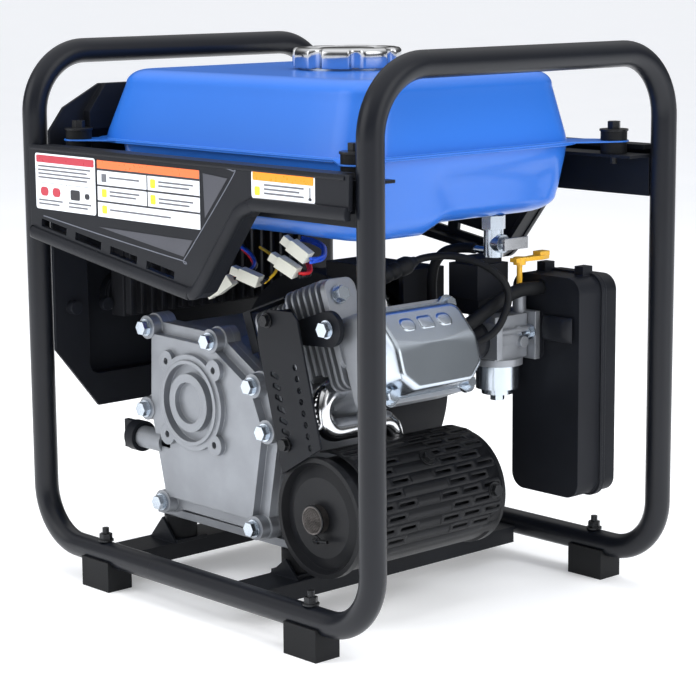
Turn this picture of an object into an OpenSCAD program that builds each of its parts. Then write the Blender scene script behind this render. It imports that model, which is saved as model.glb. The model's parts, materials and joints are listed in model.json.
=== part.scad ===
// Open-frame inverter generator. Millimetres, +Z up, origin on the ground at the middle of the frame.
// -Y is the side of the crankcase cover, +X the side of the valve cover, -X the control side,
// and +Y the side of the alternator and the recoil starter.

/* [Frame] */
// Outside diameter of the bent frame tube
tube_d = 22; // [20:0.5:25]
// Wall thickness of the frame tube
tube_wall = 1.5; // [1:0.1:2]
// Distance from the middle to each tube hoop, along X
hoop_x = 219.5; // [215:0.5:235]
// Distance from the middle to each upright, along Y
upright_y = 172; // [170:0.5:176]
// Height of the top tubes' centreline
top_z = 473.3; // [470:0.1:480]
// Height of the bottom tubes' centreline
bottom_z = 30.75; // [28:0.25:32]
// Centreline radius of the upper bends
bend_top = 55; // [45:1:65]
// Centreline radius of the lower bends
bend_low = 50; // [40:1:55]

/* [Engine] */
// Crankshaft axis, along X
crank_x = -64.7; // [-66:0.1:-63]
// Crankshaft axis, height above the ground
crank_z = 170.3; // [169:0.1:172]
// Tilt of the cylinder above horizontal, in degrees
cyl_tilt = 20; // [19:0.5:21]
// Place of the cylinder axis, along Y
cyl_y = -52; // [-53:0.5:-51]
// Bore of the cylinder
bore_d = 70; // [66:0.5:71]
// Stroke of the piston
stroke = 54; // [50:0.5:54]

/* [Exhaust] */
// Muffler axis, along X
muffler_x = 105; // [103:0.5:108]
// Muffler axis, height above the ground
muffler_z = 97; // [95:0.5:99]
// Radius of the muffler's front rim
muffler_r = 51; // [48:0.5:52]

/* [Tank] */
// Height of the tank's seam
seam_z = 396; // [394:0.5:398]
// Height of the tank's flat top
tank_top = 458; // [450:0.5:460]
// Height of the tank's bottom
tank_bottom = 328; // [326:0.5:335]
// Outside diameter of the fuel cap
cap_d = 96; // [90:1:98]

/* [Hidden] */
$fn = 48;
eps = 0.05;             // clearance between static faces that curve together
run = 0.05;             // radial clearance of a running fit
tube_r = tube_d / 2;
crank_r = stroke / 2;
rod_len = 84;
bore_r = bore_d / 2;
cover_y0 = -122;        // outer face of the crankcase cover
case_y0 = -104;         // joint of the cover and the crankcase
case_y1 = 15;           // rear face of the crankcase
head_u0 = 133;          // head gasket face, along the cylinder axis
head_u1 = 219;          // valve cover joint, along the cylinder axis
vc_w = -12;             // middle of the valve cover across the cylinder axis
mount_x = [-128, 36];   // engine mounts
mount_y = [-88, 2];
foot_x = [-129.6, 146.5];
ear_x = 181;            // tank ears
ear_y = 152;
cap_x = -8;
cap_y = 14;
panel_y = 184;          // inner face of the side panels' skin
cam_dist = 47.25;       // distance from the crankshaft to the camshaft
cam_dir = -60;
cam_x = crank_x + cam_dist * cos(cam_dir);
cam_z = crank_z + cam_dist * sin(cam_dir);
gear_m = 1.75;          // gear module
switch_x = -217;        // rocker switch pivots
air_y0 = 104;           // near face of the air box

// ---------- helpers ----------
module along_y(y0, y1) translate([0, y1, 0]) rotate([90, 0, 0]) linear_extrude(y1 - y0) children();
module along_x(x0, x1) translate([x0, 0, 0]) rotate([90, 0, 90]) linear_extrude(x1 - x0) children();
module along_z(z0, z1) translate([0, 0, z0]) linear_extrude(z1 - z0) children();
module rod_x(y, z, r, x0, x1) translate([x0, y, z]) rotate([0, 90, 0]) cylinder(r = r, h = x1 - x0);
module rod_y(x, z, r, y0, y1) translate([x, y0, z]) rotate([-90, 0, 0]) cylinder(r = r, h = y1 - y0);
module rod_z(x, y, r, z0, z1) translate([x, y, z0]) cylinder(r = r, h = z1 - z0);
module block(a, b) translate(a) cube(b - a);
module rrect(w, h, r) {
    square([w - 2 * r, h], center = true);
    square([w, h - 2 * r], center = true);
    for (x = [-1, 1], y = [-1, 1]) translate([x * (w / 2 - r), y * (h / 2 - r)]) circle(r);
}
module cyl_frame() translate([crank_x, cyl_y, crank_z]) rotate([0, -cyl_tilt, 0]) children();
// A hose or wire: rings of SIDES points along the route's own points, turned from the SIDE direction,
// which no part of the route runs along.
function unit(v) = v / norm(v);
function tangent(p, i) = unit(p[min(i + 1, len(p) - 1)] - p[max(i - 1, 0)]);
function ring(c, t, r, sides, side) = let(a = unit(cross(t, side)), b = cross(t, a))
    [for (k = [0:sides - 1]) c + r * (cos(360 * k / sides) * a + sin(360 * k / sides) * b)];
module sweep(p, r, sides = 8, side = [1, 0, 0]) {
    n = len(p);
    polyhedron([for (i = [0:n - 1]) each ring(p[i], tangent(p, i), r, sides, side)],
        concat([[for (k = [0:sides - 1]) k]], [[for (k = [sides - 1:-1:0]) (n - 1) * sides + k]],
            [for (i = [0:n - 2], k = [0:sides - 1])
                let(a = i * sides + k, b = i * sides + (k + 1) % sides) [a, a + sides, b + sides, b]]));
}
// A flange bolt along -Z, with its seat at z = 0.
module flange_bolt(flange_r, hex_r, head_h, shank_r, shank_l) {
    cylinder(r = flange_r, h = head_h * 0.28);
    cylinder(r = hex_r, h = head_h, $fn = 6);
    translate([0, 0, -shank_l]) cylinder(r = shank_r, h = shank_l + 1);
}
module m8() flange_bolt(7.8, 6.6, 7.5, 3.9, 12);
module m6() flange_bolt(6.2, 5.2, 5.5, 2.9, 8);

// ---------- frame ----------
module tube_ring() difference() { circle(tube_r); circle(tube_r - tube_wall); }
module bend(radius) rotate_extrude(angle = 90) translate([radius, 0]) tube_ring();
upright_z0 = bottom_z + bend_low;
upright_z1 = top_z - bend_top;
seam_x = -55;           // where the two hoops plug together under the engine
module tube_half(x_end) {
    translate([0, upright_y, 0]) {
        along_z(upright_z0, upright_z1) tube_ring();
        translate([bend_low, 0, upright_z0]) rotate([90, 180, 0]) bend(bend_low);
        translate([0, 0, bottom_z]) along_x(bend_low, x_end) tube_ring();
    }
    translate([0, upright_y - bend_top, upright_z1]) rotate([90, 0, 90]) bend(bend_top);
}
module hoop_blank(x_end) {
    for (side = [0, 1]) mirror([0, side, 0]) tube_half(x_end);
    translate([0, upright_y - bend_top, top_z]) rotate([90, 0, 0])
        linear_extrude(2 * (upright_y - bend_top)) tube_ring();
}
module foot_holes(xs) for (x = xs, y = [-upright_y, upright_y]) rod_z(x, y, 3.3, 0, 60);
module frame_hoop_left() color("#20242b") difference() {
    translate([-hoop_x, 0, 0]) hoop_blank(seam_x + hoop_x);
    foot_holes([foot_x[0]]);
}
module frame_hoop_right() color("#20242b") {
    difference() {
        translate([hoop_x, 0, 0]) mirror([1, 0, 0]) hoop_blank(hoop_x - seam_x);
        foot_holes([foot_x[1]]);
    }
}
rail_x = [-134.5, 40];
rail_w = 39;
module rail(x) {
    difference() {
        union() {
            block([x - rail_w / 2, -upright_y, 27], [x + rail_w / 2, upright_y, 30]);
            for (s = [-1, 1]) translate([x + s * (rail_w / 2 - 1.25), 0, 22.5])
                cube([2.5, 2 * (upright_y - 13.5), 15], center = true);
        }
        for (s = [-1, 1]) translate([0, s * upright_y, bottom_z]) rotate([0, 90, 0])
            cylinder(r = tube_r + eps, h = 800, center = true);
        rod_z(x - 6, -151, 4, 20, 35);
    }
}
module engine_rails() color("#1b1e24") {
    for (x = rail_x) rail(x);
    for (i = [0, 1], y = mount_y) block([mount_x[i] - 17, y - 17, 30], [mount_x[i] + 17, y + 17, 33]);
    along_y(-107, -104.5) polygon([[-150, 30], [-112, 30], [-131, 52]]);
    along_y(-107, -104.5) polygon([[20, 30], [56, 30], [40, 46]]);
}
module rubber_feet() color("#17181b") for (x = foot_x, y = [-upright_y, upright_y]) difference() {
    block([x - 19.5, y - 13, 0], [x + 19.5, y + 13, 27]);
    translate([x, y, bottom_z]) rotate([0, 90, 0]) cylinder(r = tube_r + eps, h = 60, center = true);
    rod_z(x, y, 3.3, -1, 30);
    rod_z(x, y, 8, -1, 7);
}
module foot_bolt(x, y) translate([x, y, 0]) {
    translate([0, 0, 3]) cylinder(r = 6.6, h = 4, $fn = 6);
    translate([0, 0, 5]) cylinder(r = 3, h = 49);
    translate([0, 0, bottom_z + tube_r + 0.2]) cylinder(r = 7, h = 1.6);
    translate([0, 0, bottom_z + tube_r + 1.5]) cylinder(r = 5.8, h = 5.5, $fn = 6);
}
module ear_bolt(x, y) translate([x, y, 0]) {
    translate([0, 0, seam_z + 9.2]) cylinder(r = 12.5, h = 1.8);
    translate([0, 0, seam_z + 10.6]) cylinder(r = 5.8, h = 7, $fn = 6);
    translate([0, 0, seam_z - 19]) cylinder(r = 3, h = 31);
}
module frame_bolts() color("#2a2d33") {
    for (x = foot_x, y = [-upright_y, upright_y]) foot_bolt(x, y);
    for (x = [-ear_x, ear_x], y = [-ear_y, ear_y]) ear_bolt(x, y);
    translate([49.2, guard_y0, 257.5]) rotate([90, 0, 0]) m6();
    translate([71.3, guard_y0, 155.3]) rotate([90, 0, 0]) m6();
}

// ---------- side panels ----------
panel_outline = [[-207, 393], [-207, 313], [-196, 309], [10, 279.5], [22, 278.5], [32, 284],
    [84, 350], [94, 358], [106, 361.5], [205, 361.5], [212, 366], [213, 393]];
panel_inner = [[-195, 389], [-195, 317], [9, 285], [20, 284], [30, 289],
    [80, 353], [92, 362], [106, 365.5], [205, 365.5], [205, 389]];
module vent_slots() for (i = [0:3]) translate([-172 + 50.5 * i, 322 - 7.8 * i]) rotate(-8.7)
    square([38, 7], center = true);
module side_panel() {
    difference() {
        union() {
            along_y(-panel_y - 4, -panel_y) polygon(panel_outline);
            along_y(-panel_y - 0.5, -170) difference() { polygon(panel_outline); polygon(panel_inner); }
        }
        along_y(-panel_y - 5, -160) vent_slots();
        for (x = [-hoop_x, hoop_x]) rod_z(x, -upright_y, tube_r + 0.6, 200, 420);
        block([-240, -183.8, 200], [-195, -150, 420]);
        block([200, -183.8, 200], [240, -150, 420]);
    }
}
module side_panel_front() color("#1d2026") side_panel();
module side_panel_rear() color("#1d2026") mirror([0, 1, 0]) side_panel();
module tank_beam() difference() {
    union() {
        block([-211, -166, 350], [211, -163.5, 386]);
        block([-211, -166, 383.5], [211, -138, 386]);
    }
    for (x = [-hoop_x, hoop_x]) rod_z(x, -upright_y, tube_r + eps, 300, 420);
    for (x = [-ear_x, ear_x]) rod_z(x, -ear_y, 3.6, 375, 390);
}
module tank_beams() color("#1b1e24") for (s = [0, 1]) mirror([0, s, 0]) tank_beam();

// ---------- fuel tank ----------
rim_w = 366;            // width of the seam flange
rim_d = 280;
rim_x = -12.5;          // its middle, as the upper half reaches further to the panel side
module slab(w, d, r, z, x = 0) translate([x, 0, z]) linear_extrude(0.02) rrect(w, d, r);
module upper_form(t) hull() {
    $fn = 32;
    slab(352 - 2 * t, 266 - 2 * t, 34 - t, seam_z + 0.01, -13);
    slab(330 - 2 * t, 236 - 2 * t, 32 - t, tank_top - 12 - t, -9);
    slab(316 - 2 * t, 222 - 2 * t, 26 - t, tank_top - 3 - t, -7);
    slab(302 - 2 * t, 206 - 2 * t, 20 - t, tank_top - t - 0.02, -7);
}
module lower_form(t) hull() {
    $fn = 32;
    slab(326 - 2 * t, 266 - 2 * t, 34 - t, seam_z - 0.03);
    slab(312 - 2 * t, 252 - 2 * t, 30 - t, tank_bottom + 22);
    slab(298 - 2 * t, 236 - 2 * t, 24 - t, tank_bottom + 8 + t);
    slab(272 - 2 * t, 210 - 2 * t, 16 - t, tank_bottom + t);
}
module rim() translate([rim_x, 0]) rrect(rim_w, rim_d, 40);
module ears(r) for (x = [-1, 1], y = [-1, 1]) hull() {
    translate([x * ear_x, y * ear_y]) circle(r);
    translate([x * 140, y * 110]) circle(r + 10);
}
module flange(z) difference() {
    along_z(z, z + 1.4) union() { rim(); ears(13); }
    for (x = [-ear_x, ear_x], y = [-ear_y, ear_y]) rod_z(x, y, 7.1, z - 1, z + 3);
}
module tank_upper_shell() color("#3a7be8") difference() {
    union() { upper_form(0); flange(seam_z); }
    upper_form(1.2);
    translate([-13, 0, seam_z - 0.5]) linear_extrude(2) rrect(346, 260, 31);
    rod_z(cap_x, cap_y, 37.7, tank_top - 10, tank_top + 5);
}
module lower_shape(t) difference() {
    lower_form(t);
    block([-200, -30 - t, tank_bottom - 1], [200, 200, tank_bottom + 8 + t]);
}
module tank_lower_shell() color("#3a7be8") difference() {
    union() {
        lower_shape(0);
        difference() {
            along_z(seam_z - 1.4, seam_z) rim();
            along_z(seam_z - 2, seam_z + 1) rrect(320, 260, 31);
        }
    }
    lower_shape(1.2);
    along_z(seam_z - 3, seam_z + 1) rrect(320, 260, 31);
    rod_z(valve_x, valve_y, 5.2, 320, 350);
}
module filler_neck() color("#b9bdc2") difference() {
    union() {
        rod_z(cap_x, cap_y, 37.5, tank_top - 12, tank_top + 8);
        rod_z(cap_x, cap_y, 41, tank_top, tank_top + 1.4);
    }
    rod_z(cap_x, cap_y, 36.2, tank_top - 20, tank_top + 10);
}
cap_z0 = tank_top + 1.8;
cap_z1 = tank_top + 19;
module fuel_cap() color("#d4d7db") difference() {
    rod_z(cap_x, cap_y, cap_d / 2, cap_z0, cap_z1);
    rod_z(cap_x, cap_y, 43, cap_z0 - 1, cap_z1 - 4);
    for (k = [0:7]) translate([cap_x, cap_y, cap_z0 - 1]) rotate(45 * k + 12)
        translate([cap_d / 2 + 3.2, 0, 0]) cylinder(r = 6.5, h = 17);
}
module cap_seal() color("#2b2b2b") {
    difference() {
        rod_z(cap_x, cap_y, 42, tank_top + 8.2, tank_top + 11);
        rod_z(cap_x, cap_y, 20, tank_top + 8, tank_top + 11.2);
    }
    difference() {
        rod_z(cap_x, cap_y, 33, tank_top + 2, tank_top + 8.2);
        rod_z(cap_x, cap_y, 24, tank_top + 1, tank_top + 9);
    }
}
module tank_isolators() color("#141517") for (x = [-ear_x, ear_x], y = [-ear_y, ear_y]) {
    difference() {
        union() {
            rod_z(x, y, 11.5, seam_z - 9.9, seam_z - 0.1);
            rod_z(x, y, 7, seam_z - 0.2, seam_z + 1.6);
            rod_z(x, y, 11.5, seam_z + 1.5, seam_z + 9.1);
        }
        rod_z(x, y, 3.2, seam_z - 12, seam_z + 10);
    }
}

// ---------- fuel line ----------
valve_x = 128;
valve_y = 58;
module fuel_valve() color("#8d9298") difference() {
    union() {
        rod_z(valve_x, valve_y, 5, 328, 344);
        translate([valve_x, valve_y, 324]) cylinder(r = 10.5, h = 11.9, $fn = 6);
        rod_z(valve_x, valve_y, 8.5, 300, 326);
        rod_x(valve_y, 312, 8, valve_x, valve_x + 12);
        rod_x(valve_y, 305, 3, valve_x - 22, valve_x);
    }
    rod_x(valve_y, 312, 3 + run, valve_x + 4, valve_x + 13);
}
module fuel_valve_lever() color("#6b7076") {
    rod_x(valve_y, 312, 3, valve_x + 5, valve_x + 16);
    block([valve_x + 15.4, valve_y - 5, 307], [valve_x + 18, valve_y + 24, 317]);
}
fuel_route = [[105.8, 58, 305], [98, 58, 305], [88, 54, 304], [78, 48, 300], [72, 43, 290], [70, 41, 276],
    [70, 41, 262], [70, 43, 246], [71, 51, 231], [73, 60, 220], [76, 68, 212.5], [81, 71.6, 209],
    [86, 72, 208], [89.8, 72, 208]];
module fuel_hose() color("#16171a") sweep(fuel_route, 4.5, 12, [0, 1, 0]);

// ---------- crankcase ----------
case_mid = [-55, 155];
oil_y = -114;            // oil filler
oil_z = 126;
case_bolts = [[-128.6, 229.7], [-39.3, 227.9], [17, 196], [33.8, 158.5], [17.3, 71.6], [-111, 72.5],
    [-131.5, 155.2]];
module case_outline(k, boss_r) {
    polygon([for (b = case_bolts) case_mid + (b - case_mid) * k]);
    if (boss_r > 0) for (b = case_bolts) translate(b) circle(boss_r);
}
module fin_plate(u, y0, y1, w0, w1, t = 2.6) translate([u, 0, 0]) rotate([90, 0, 90])
    linear_extrude(t) translate([(y0 + y1) / 2, (w0 + w1) / 2]) rrect(y1 - y0, w1 - w0, 9);
module crankcase() color("#9aa0a6") difference() {
    union() {
        along_y(case_y0, case_y0 + 8) case_outline(1.07, 12);
        along_y(case_y0, case_y1) case_outline(1.0, 0);
        rod_y(crank_x, crank_z, 30, 0, 24);
        cyl_frame() {
            rotate([0, 90, 0]) cylinder(r = 43, h = head_u0);
            for (u = [86:7.5:124]) fin_plate(u, -50, 56, -46, 58);
            fin_plate(head_u0 - 4.5, -50, 56, -46, 58, 4.5);
        }
        block([-146, -100, 53], [52, 12, 60]);
        along_y(-96, 8) polygon([[-118, 58], [-105, 58], [-105, 80], [-112, 80]]);
        along_y(-96, 8) polygon([[26, 58], [5, 58], [5, 80], [18, 80]]);
    }
    along_y(case_y0 - 1, case_y1 - 8) case_outline(0.82, 0);
    cyl_frame() rotate([0, 90, 0]) cylinder(r = bore_r, h = head_u0 + 1);
    rod_y(crank_x, crank_z, 15 + run, -10, 30);
    rod_y(cam_x, cam_z, 6 + run, 5, 12);
    for (b = case_bolts) rod_y(b[0], b[1], 4.1, case_y0 - 1, case_y0 + 7);
    for (x = mount_x, y = mount_y) rod_z(x, y, 4.2, 50, 62);
}
module tapped_bosses(r) for (a = [45:90:315])
    translate([crank_x + 46.7 * cos(a), crank_z + 46.7 * sin(a)]) circle(r);
module crankcase_cover() color("#aab0b6") difference() {
    union() {
        along_y(case_y0 - 8, case_y0) case_outline(1.07, 12);
        along_y(cover_y0 + 2, case_y0) case_outline(0.93, 0);
        along_y(cover_y0 + 0.5, case_y0) for (b = case_bolts) translate(b) circle(10.5);
        along_y(-125, -112) union() { translate([crank_x, crank_z]) circle(43); tapped_bosses(9.5); }
        rod_y(crank_x, crank_z, 38, -127, -112);
        rod_x(oil_y, oil_z, 10, -146, -112);
        rod_y(crank_x, crank_z, 20, -115, case_y0);
        rod_y(cam_x, cam_z, 10, -115, case_y0);
    }
    difference() {
        rod_y(crank_x, crank_z, 34.5, -128, -119.5);
        rod_y(crank_x, crank_z, 26, -129, -119);
    }
    rod_y(crank_x, crank_z, 18.3, -128, -121.5);
    along_y(-126, -117) tapped_bosses(3);
    difference() {
        along_y(-114, -103) case_outline(0.76, 0);
        rod_y(crank_x, crank_z, 20, -115, -102);
        rod_y(cam_x, cam_z, 10, -115, -102);
    }
    rod_y(crank_x, crank_z, 12.5 + run, -118.5, -102);
    rod_y(cam_x, cam_z, 6 + run, -114, -102);
    rod_x(oil_y, oil_z, 6.5 + run, -150, -100);
    for (b = case_bolts) rod_y(b[0], b[1], 4.1, -130, -100);
}
module engine_bolts() color("#c9cdd1") {
    for (b = case_bolts) translate([b[0], cover_y0 + 0.5, b[1]]) rotate([90, 0, 0])
        flange_bolt(7.8, 6.6, 7.5, 3.9, 20);
    translate([pod_x, -116, pod_z]) rotate([90, 0, 0]) flange_bolt(7.8, 6.6, 7.5, 3.9, 4);
    cyl_frame() for (p = vc_bolts) translate([head_u1 + 4, p[0], p[1]]) rotate([0, 90, 0]) m6();
    cyl_frame() translate([head_u0 + 56.2, -42, 48]) rotate([0, 90, 0]) m8();
}

// ---------- cylinder head ----------
vc_bolts = [[-45, vc_w + 34], [45, vc_w + 34], [-45, vc_w - 34], [45, vc_w - 34]];
module head_outline(w, h, r) translate([0, vc_w]) rrect(w, h, r);
module across_u(u0, u1) translate([u0, 0, 0]) rotate([90, 0, 90]) linear_extrude(u1 - u0) children();
module cylinder_head() color("#a2a8ae") difference() {
    cyl_frame() head_block();
    rod_y(pipe_x, port_in_z, pipe_r - 2, -90, -58);
    rod_y(pipe_x, port_in_z, pipe_r + 3, -120, -85.9);
    block([pipe_x - 12, -120, port_in_z - 40], [pipe_x + 12, -85.9, port_in_z]);
}
module head_block() difference() {
    union() {
        across_u(head_u0, head_u0 + 8) rrect(104, 84, 12);
        across_u(head_u0, head_u1 - 12) translate([8, -12]) rrect(84, 70, 12);
        across_u(head_u1 - 31, head_u1) head_outline(104, 80, 10);
        for (u = [head_u0 + 12:7.5:head_u1 - 35]) fin_plate(u, -55, 52, -30, 30);
        for (u = [head_u0 + 2:8:head_u0 + 48]) fin_plate(u, -54, -18, -20, 64, 2.4);
        across_u(head_u0 + 50, head_u0 + 56) translate([-38, 24]) rrect(34, 76, 9);
    }
    translate([head_u0 - 1, 0, 0]) rotate([0, 90, 0]) cylinder(r = 33, h = 8);
    across_u(head_u1 - 24, head_u1 + 1) head_outline(84, 60, 8);
    for (p = vc_bolts) translate([head_u1 - 14, p[0], p[1]]) rotate([0, 90, 0]) cylinder(r = 3.1, h = 20);
    translate([head_u0 + 30, 56, vc_w]) rotate([90, 0, 0]) cylinder(r = 11, h = 30);
    translate([head_u0 + 40, -42, 48]) rotate([0, 90, 0]) cylinder(r = 4.1, h = 20);
    translate([plug_u, 0, 12]) cylinder(r = 5.1, h = 40);
}
module cover_slab(u, w, h, r, dw = 0) translate([u, 0, vc_w + dw]) rotate([90, 0, 90]) linear_extrude(0.02)
    rrect(w, h, r);
module cover_form(t) hull() {
    $fn = 32;
    cover_slab(head_u1, 98 - 2 * t, 72 - 2 * t, 12 - t);
    cover_slab(head_u1 + 18, 96 - 2 * t, 70 - 2 * t, 12 - t);
    cover_slab(head_u1 + 31 - t, 88 - 2 * t, 28 - t, 6, -12);
}
module valve_cover() color("#c6cbd0") cyl_frame() difference() {
    union() {
        across_u(head_u1, head_u1 + 4) head_outline(106, 84, 12);
        cover_form(0);
    }
    translate([-0.5, 0, 0]) cover_form(2);
    for (p = vc_bolts) translate([head_u1 - 1, p[0], p[1]]) rotate([0, 90, 0]) cylinder(r = 3.2, h = 6);
    for (p = vc_bolts) translate([head_u1 + 4, p[0], p[1]]) rotate([0, 90, 0]) cylinder(r = 6.8, h = 30);
}
plug_u = 186;
module spark_plug() color("#d9d5cc") cyl_frame() {
    translate([plug_u, 0, 22]) cylinder(r = 5, h = 28);
    translate([plug_u, 0, 31]) cylinder(r = 9, h = 7, $fn = 6);
}
boot_a = [crank_x + plug_u * cos(cyl_tilt) - 50 * sin(cyl_tilt), cyl_y,
    crank_z + plug_u * sin(cyl_tilt) + 50 * cos(cyl_tilt)];
module plug_boot() color("#141518") difference() {
    union() {
        cyl_frame() translate([plug_u, 0, 39]) cylinder(r = 10, h = 20);
        translate(boot_a + [-2, 0, 5]) rotate([-76, 0, 0]) cylinder(r = 8.5, h = 52);
    }
    cyl_frame() translate([plug_u, 0, 30]) cylinder(r = 5 + eps, h = 20 + eps);
}
lead_route = [[91.6, -0.6, 298.4], [94, 7, 300.5], [101, 16, 302], [110, 25, 302], [120, 33, 300],
    [130, 40, 296], [139, 46, 290], [146, 51, 282], [149, 54, 273], [149.5, 54, 264], [149, 51, 255],
    [149, 46, 247], [149, 40, 241], [147, 33, 236], [142, 26, 232], [135, 19, 229], [129.5, 11, 227],
    [127.5, 5, 226.5], [127.5, 0.2, 226.5]];
module ignition_lead() color("#141518") {
    sweep(lead_route, 3.2, 10);
    rod_y(127.5, 226.5, 5, 0.1, 10);
}

// ---------- crank train ----------
module gear_outline(teeth, turn) {
    pitch = 360 / teeth;
    r = gear_m * teeth / 2;
    polygon([for (i = [0:teeth - 1], p = [[-0.3, -1.2], [-0.11, 0.88], [0.11, 0.88], [0.3, -1.2]])
        (r + p[1] * gear_m) * [cos((i + p[0]) * pitch + turn), sin((i + p[0]) * pitch + turn)]]);
}
module crankshaft() color("#8b9096") {
    rod_y(crank_x, crank_z, 12.5, -116.5, cyl_y - 12.5);
    rod_y(crank_x, crank_z, 30, cyl_y - 24, cyl_y - 12.5);
    along_y(-101, -93) translate([crank_x, crank_z]) gear_outline(18, cam_dir);
    rod_y(crank_x, crank_z, 30, cyl_y + 12.5, cyl_y + 24);
    rod_y(crank_x, crank_z, 15, cyl_y + 20, 27);
    rod_y(crank_x, crank_z, 13, 25, 70);
}
module camshaft() color("#8b9096") {
    rod_y(cam_x, cam_z, 6, -113, 11);
    along_y(-101, -93) translate([cam_x, cam_z]) gear_outline(36, 180 + cam_dir + 5);
    for (k = [0, 1]) translate([cam_x, -72 + 32 * k, cam_z]) rotate([0, 110 * k, 0]) rotate([-90, 0, 0]) {
        cylinder(r = 8.5, h = 9);
        translate([5, 0, 0]) cylinder(r = 6, h = 9);
    }
}
pin_u = crank_r + rod_len;      // wrist pin at top dead centre
module piston() color("#b5babf") cyl_frame() difference() {
    union() {
        difference() {
            translate([pin_u - 16, 0, 0]) rotate([0, 90, 0]) cylinder(r = bore_r - run, h = 36);
            translate([pin_u - 17, 0, 0]) rotate([0, 90, 0]) cylinder(r = bore_r - 5, h = 31);
        }
        for (s = [-1, 1]) translate([pin_u - 12, s * 22 - 9, -12]) cube([28, 18, 24]);
    }
    translate([pin_u, 40, 0]) rotate([90, 0, 0]) cylinder(r = 9, h = 80);
    for (k = [0:2]) translate([pin_u + 8 + 3.6 * k, 0, 0]) rotate([0, 90, 0]) difference() {
        cylinder(r = bore_r + 1, h = 1.5);
        cylinder(r = bore_r - 3, h = 1.5);
    }
}
module connecting_rod() color("#a7acb1") cyl_frame() {
    difference() {
        union() {
            translate([crank_r, 10, 0]) rotate([90, 0, 0]) cylinder(r = 19, h = 20);
            translate([pin_u, 10, 0]) rotate([90, 0, 0]) cylinder(r = 13.5, h = 20);
            translate([crank_r, -5, -9]) cube([rod_len, 10, 18]);
        }
        translate([crank_r, 20, 0]) rotate([90, 0, 0]) cylinder(r = 12 + run, h = 40);
        translate([pin_u, 20, 0]) rotate([90, 0, 0]) cylinder(r = 9, h = 40);
    }
    translate([crank_r, 12.2, 0]) rotate([90, 0, 0]) cylinder(r = 12, h = 24.4);
    translate([pin_u, 29, 0]) rotate([90, 0, 0]) cylinder(r = 8.95, h = 58);
}

// ---------- oil filler ----------
module dipstick_cap() color("#16171a") difference() {
    union() {
        rod_x(oil_y, oil_z, 6.5, -146.5, -112);
        rod_x(oil_y, oil_z, 14, -158, -146.3);
        block([-172, oil_y - 2.5, oil_z - 13], [-157, oil_y + 2.5, oil_z + 13]);
        rod_x(oil_y, oil_z, 1.6, -113, -101);
    }
    rod_x(oil_y, oil_z, 5, -171, -168);
}

// ---------- mounts ----------
module engine_mounts() color("#141517") for (x = mount_x, y = mount_y) {
    rod_z(x, y, 15, 33.2, 52.8);
    rod_z(x, y, 4, 52.5, 66);
    translate([x, y, 60.2]) cylinder(r = 7.5, h = 6, $fn = 6);
}

// ---------- exhaust and shrouding ----------
pod_x = 107.5;          // pod of the air guide, beside the valve cover
pod_z = 255;
module deflector_outline() hull() { circle(15); translate([-30, -6]) circle(11); }
module cooling_shroud() color("#24272d") {
    // Curved sheet over the cylinder's fins, with its folded front edge.
    cyl_frame() {
        translate([70, -48, 60.5]) cube([58, 106, 1.5]);
        translate([70, -48, 25]) cube([10, 1.5, 36]);
        translate([104, 57, -40]) cube([24, 1.5, 102]);
    }
    difference() {
        along_y(-116, -111) translate([pod_x, pod_z]) deflector_outline();
        rod_y(pod_x, pod_z, 4, -120, -110);
    }
}
guard_y0 = -131;
guard_y1 = -129;
guard_outline = [[36, 240], [38, 257], [52, 267], [80, 267.5], [86, 262], [114, 158], [66, 129.5]];
module guard_holes() {
    for (i = [0:6]) translate([57.5 + 2.65 * i, 212 - 9.3 * i]) rotate(-14) rrect(11, 4.6, 2.2);
    for (i = [0:7]) translate([83 + 2.6 * i, 222 - 9.3 * i]) circle(2.7);
}
module exhaust_guard() color("#1e2127") difference() {
    union() {
        along_y(guard_y0, guard_y1) polygon(guard_outline);
        along_y(guard_y0, guard_y1 + 2.5) polygon([[36, 240], [38.4, 240], [68.4, 131], [66, 129.5]]);
        rod_y(49.2, 257.5, 7, guard_y1 - 1, -107.2);
    }
    along_y(guard_y0 - 1, guard_y1 + 0.5) guard_holes();
    rod_y(49.2, 257.5, 3, guard_y0 - 1, -116);
    rod_y(71.3, 155.3, 3, guard_y0 - 1, guard_y1 + 1);
}
pipe_x = 88;
pipe_r = 10;
port_in_z = 200;        // height of the exhaust port
pipe_turn = 18;         // radius of the U-bend in front of the head
pipe_run_z = port_in_z - 2 * pipe_turn;
pipe_down_y = -26;      // where the pipe enters the muffler
pipe_bend = 14;
module pipe_arc(y, z, r, dir, angle) translate([pipe_x, y, z]) rotate([dir, -90, 0])
    rotate_extrude(angle = angle) translate([r, 0]) circle(pipe_r);
module exhaust_pipe() color("#c9ccd0") difference() {
    union() {
        rod_y(pipe_x, port_in_z, pipe_r, -90, -86);
        pipe_arc(-90, port_in_z - pipe_turn, pipe_turn, 180, 180);
        rod_y(pipe_x, pipe_run_z, pipe_r, -90, pipe_down_y - pipe_bend);
        pipe_arc(pipe_down_y - pipe_bend, pipe_run_z - pipe_bend, pipe_bend, 0, 90);
        rod_z(pipe_x, pipe_down_y, pipe_r, muffler_z + 38, pipe_run_z - pipe_bend);
    }
    rod_z(pipe_x, pipe_down_y, pipe_r - 2, muffler_z + 36, pipe_run_z - pipe_bend - 2);
}
muffler_y0 = -126;
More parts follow.
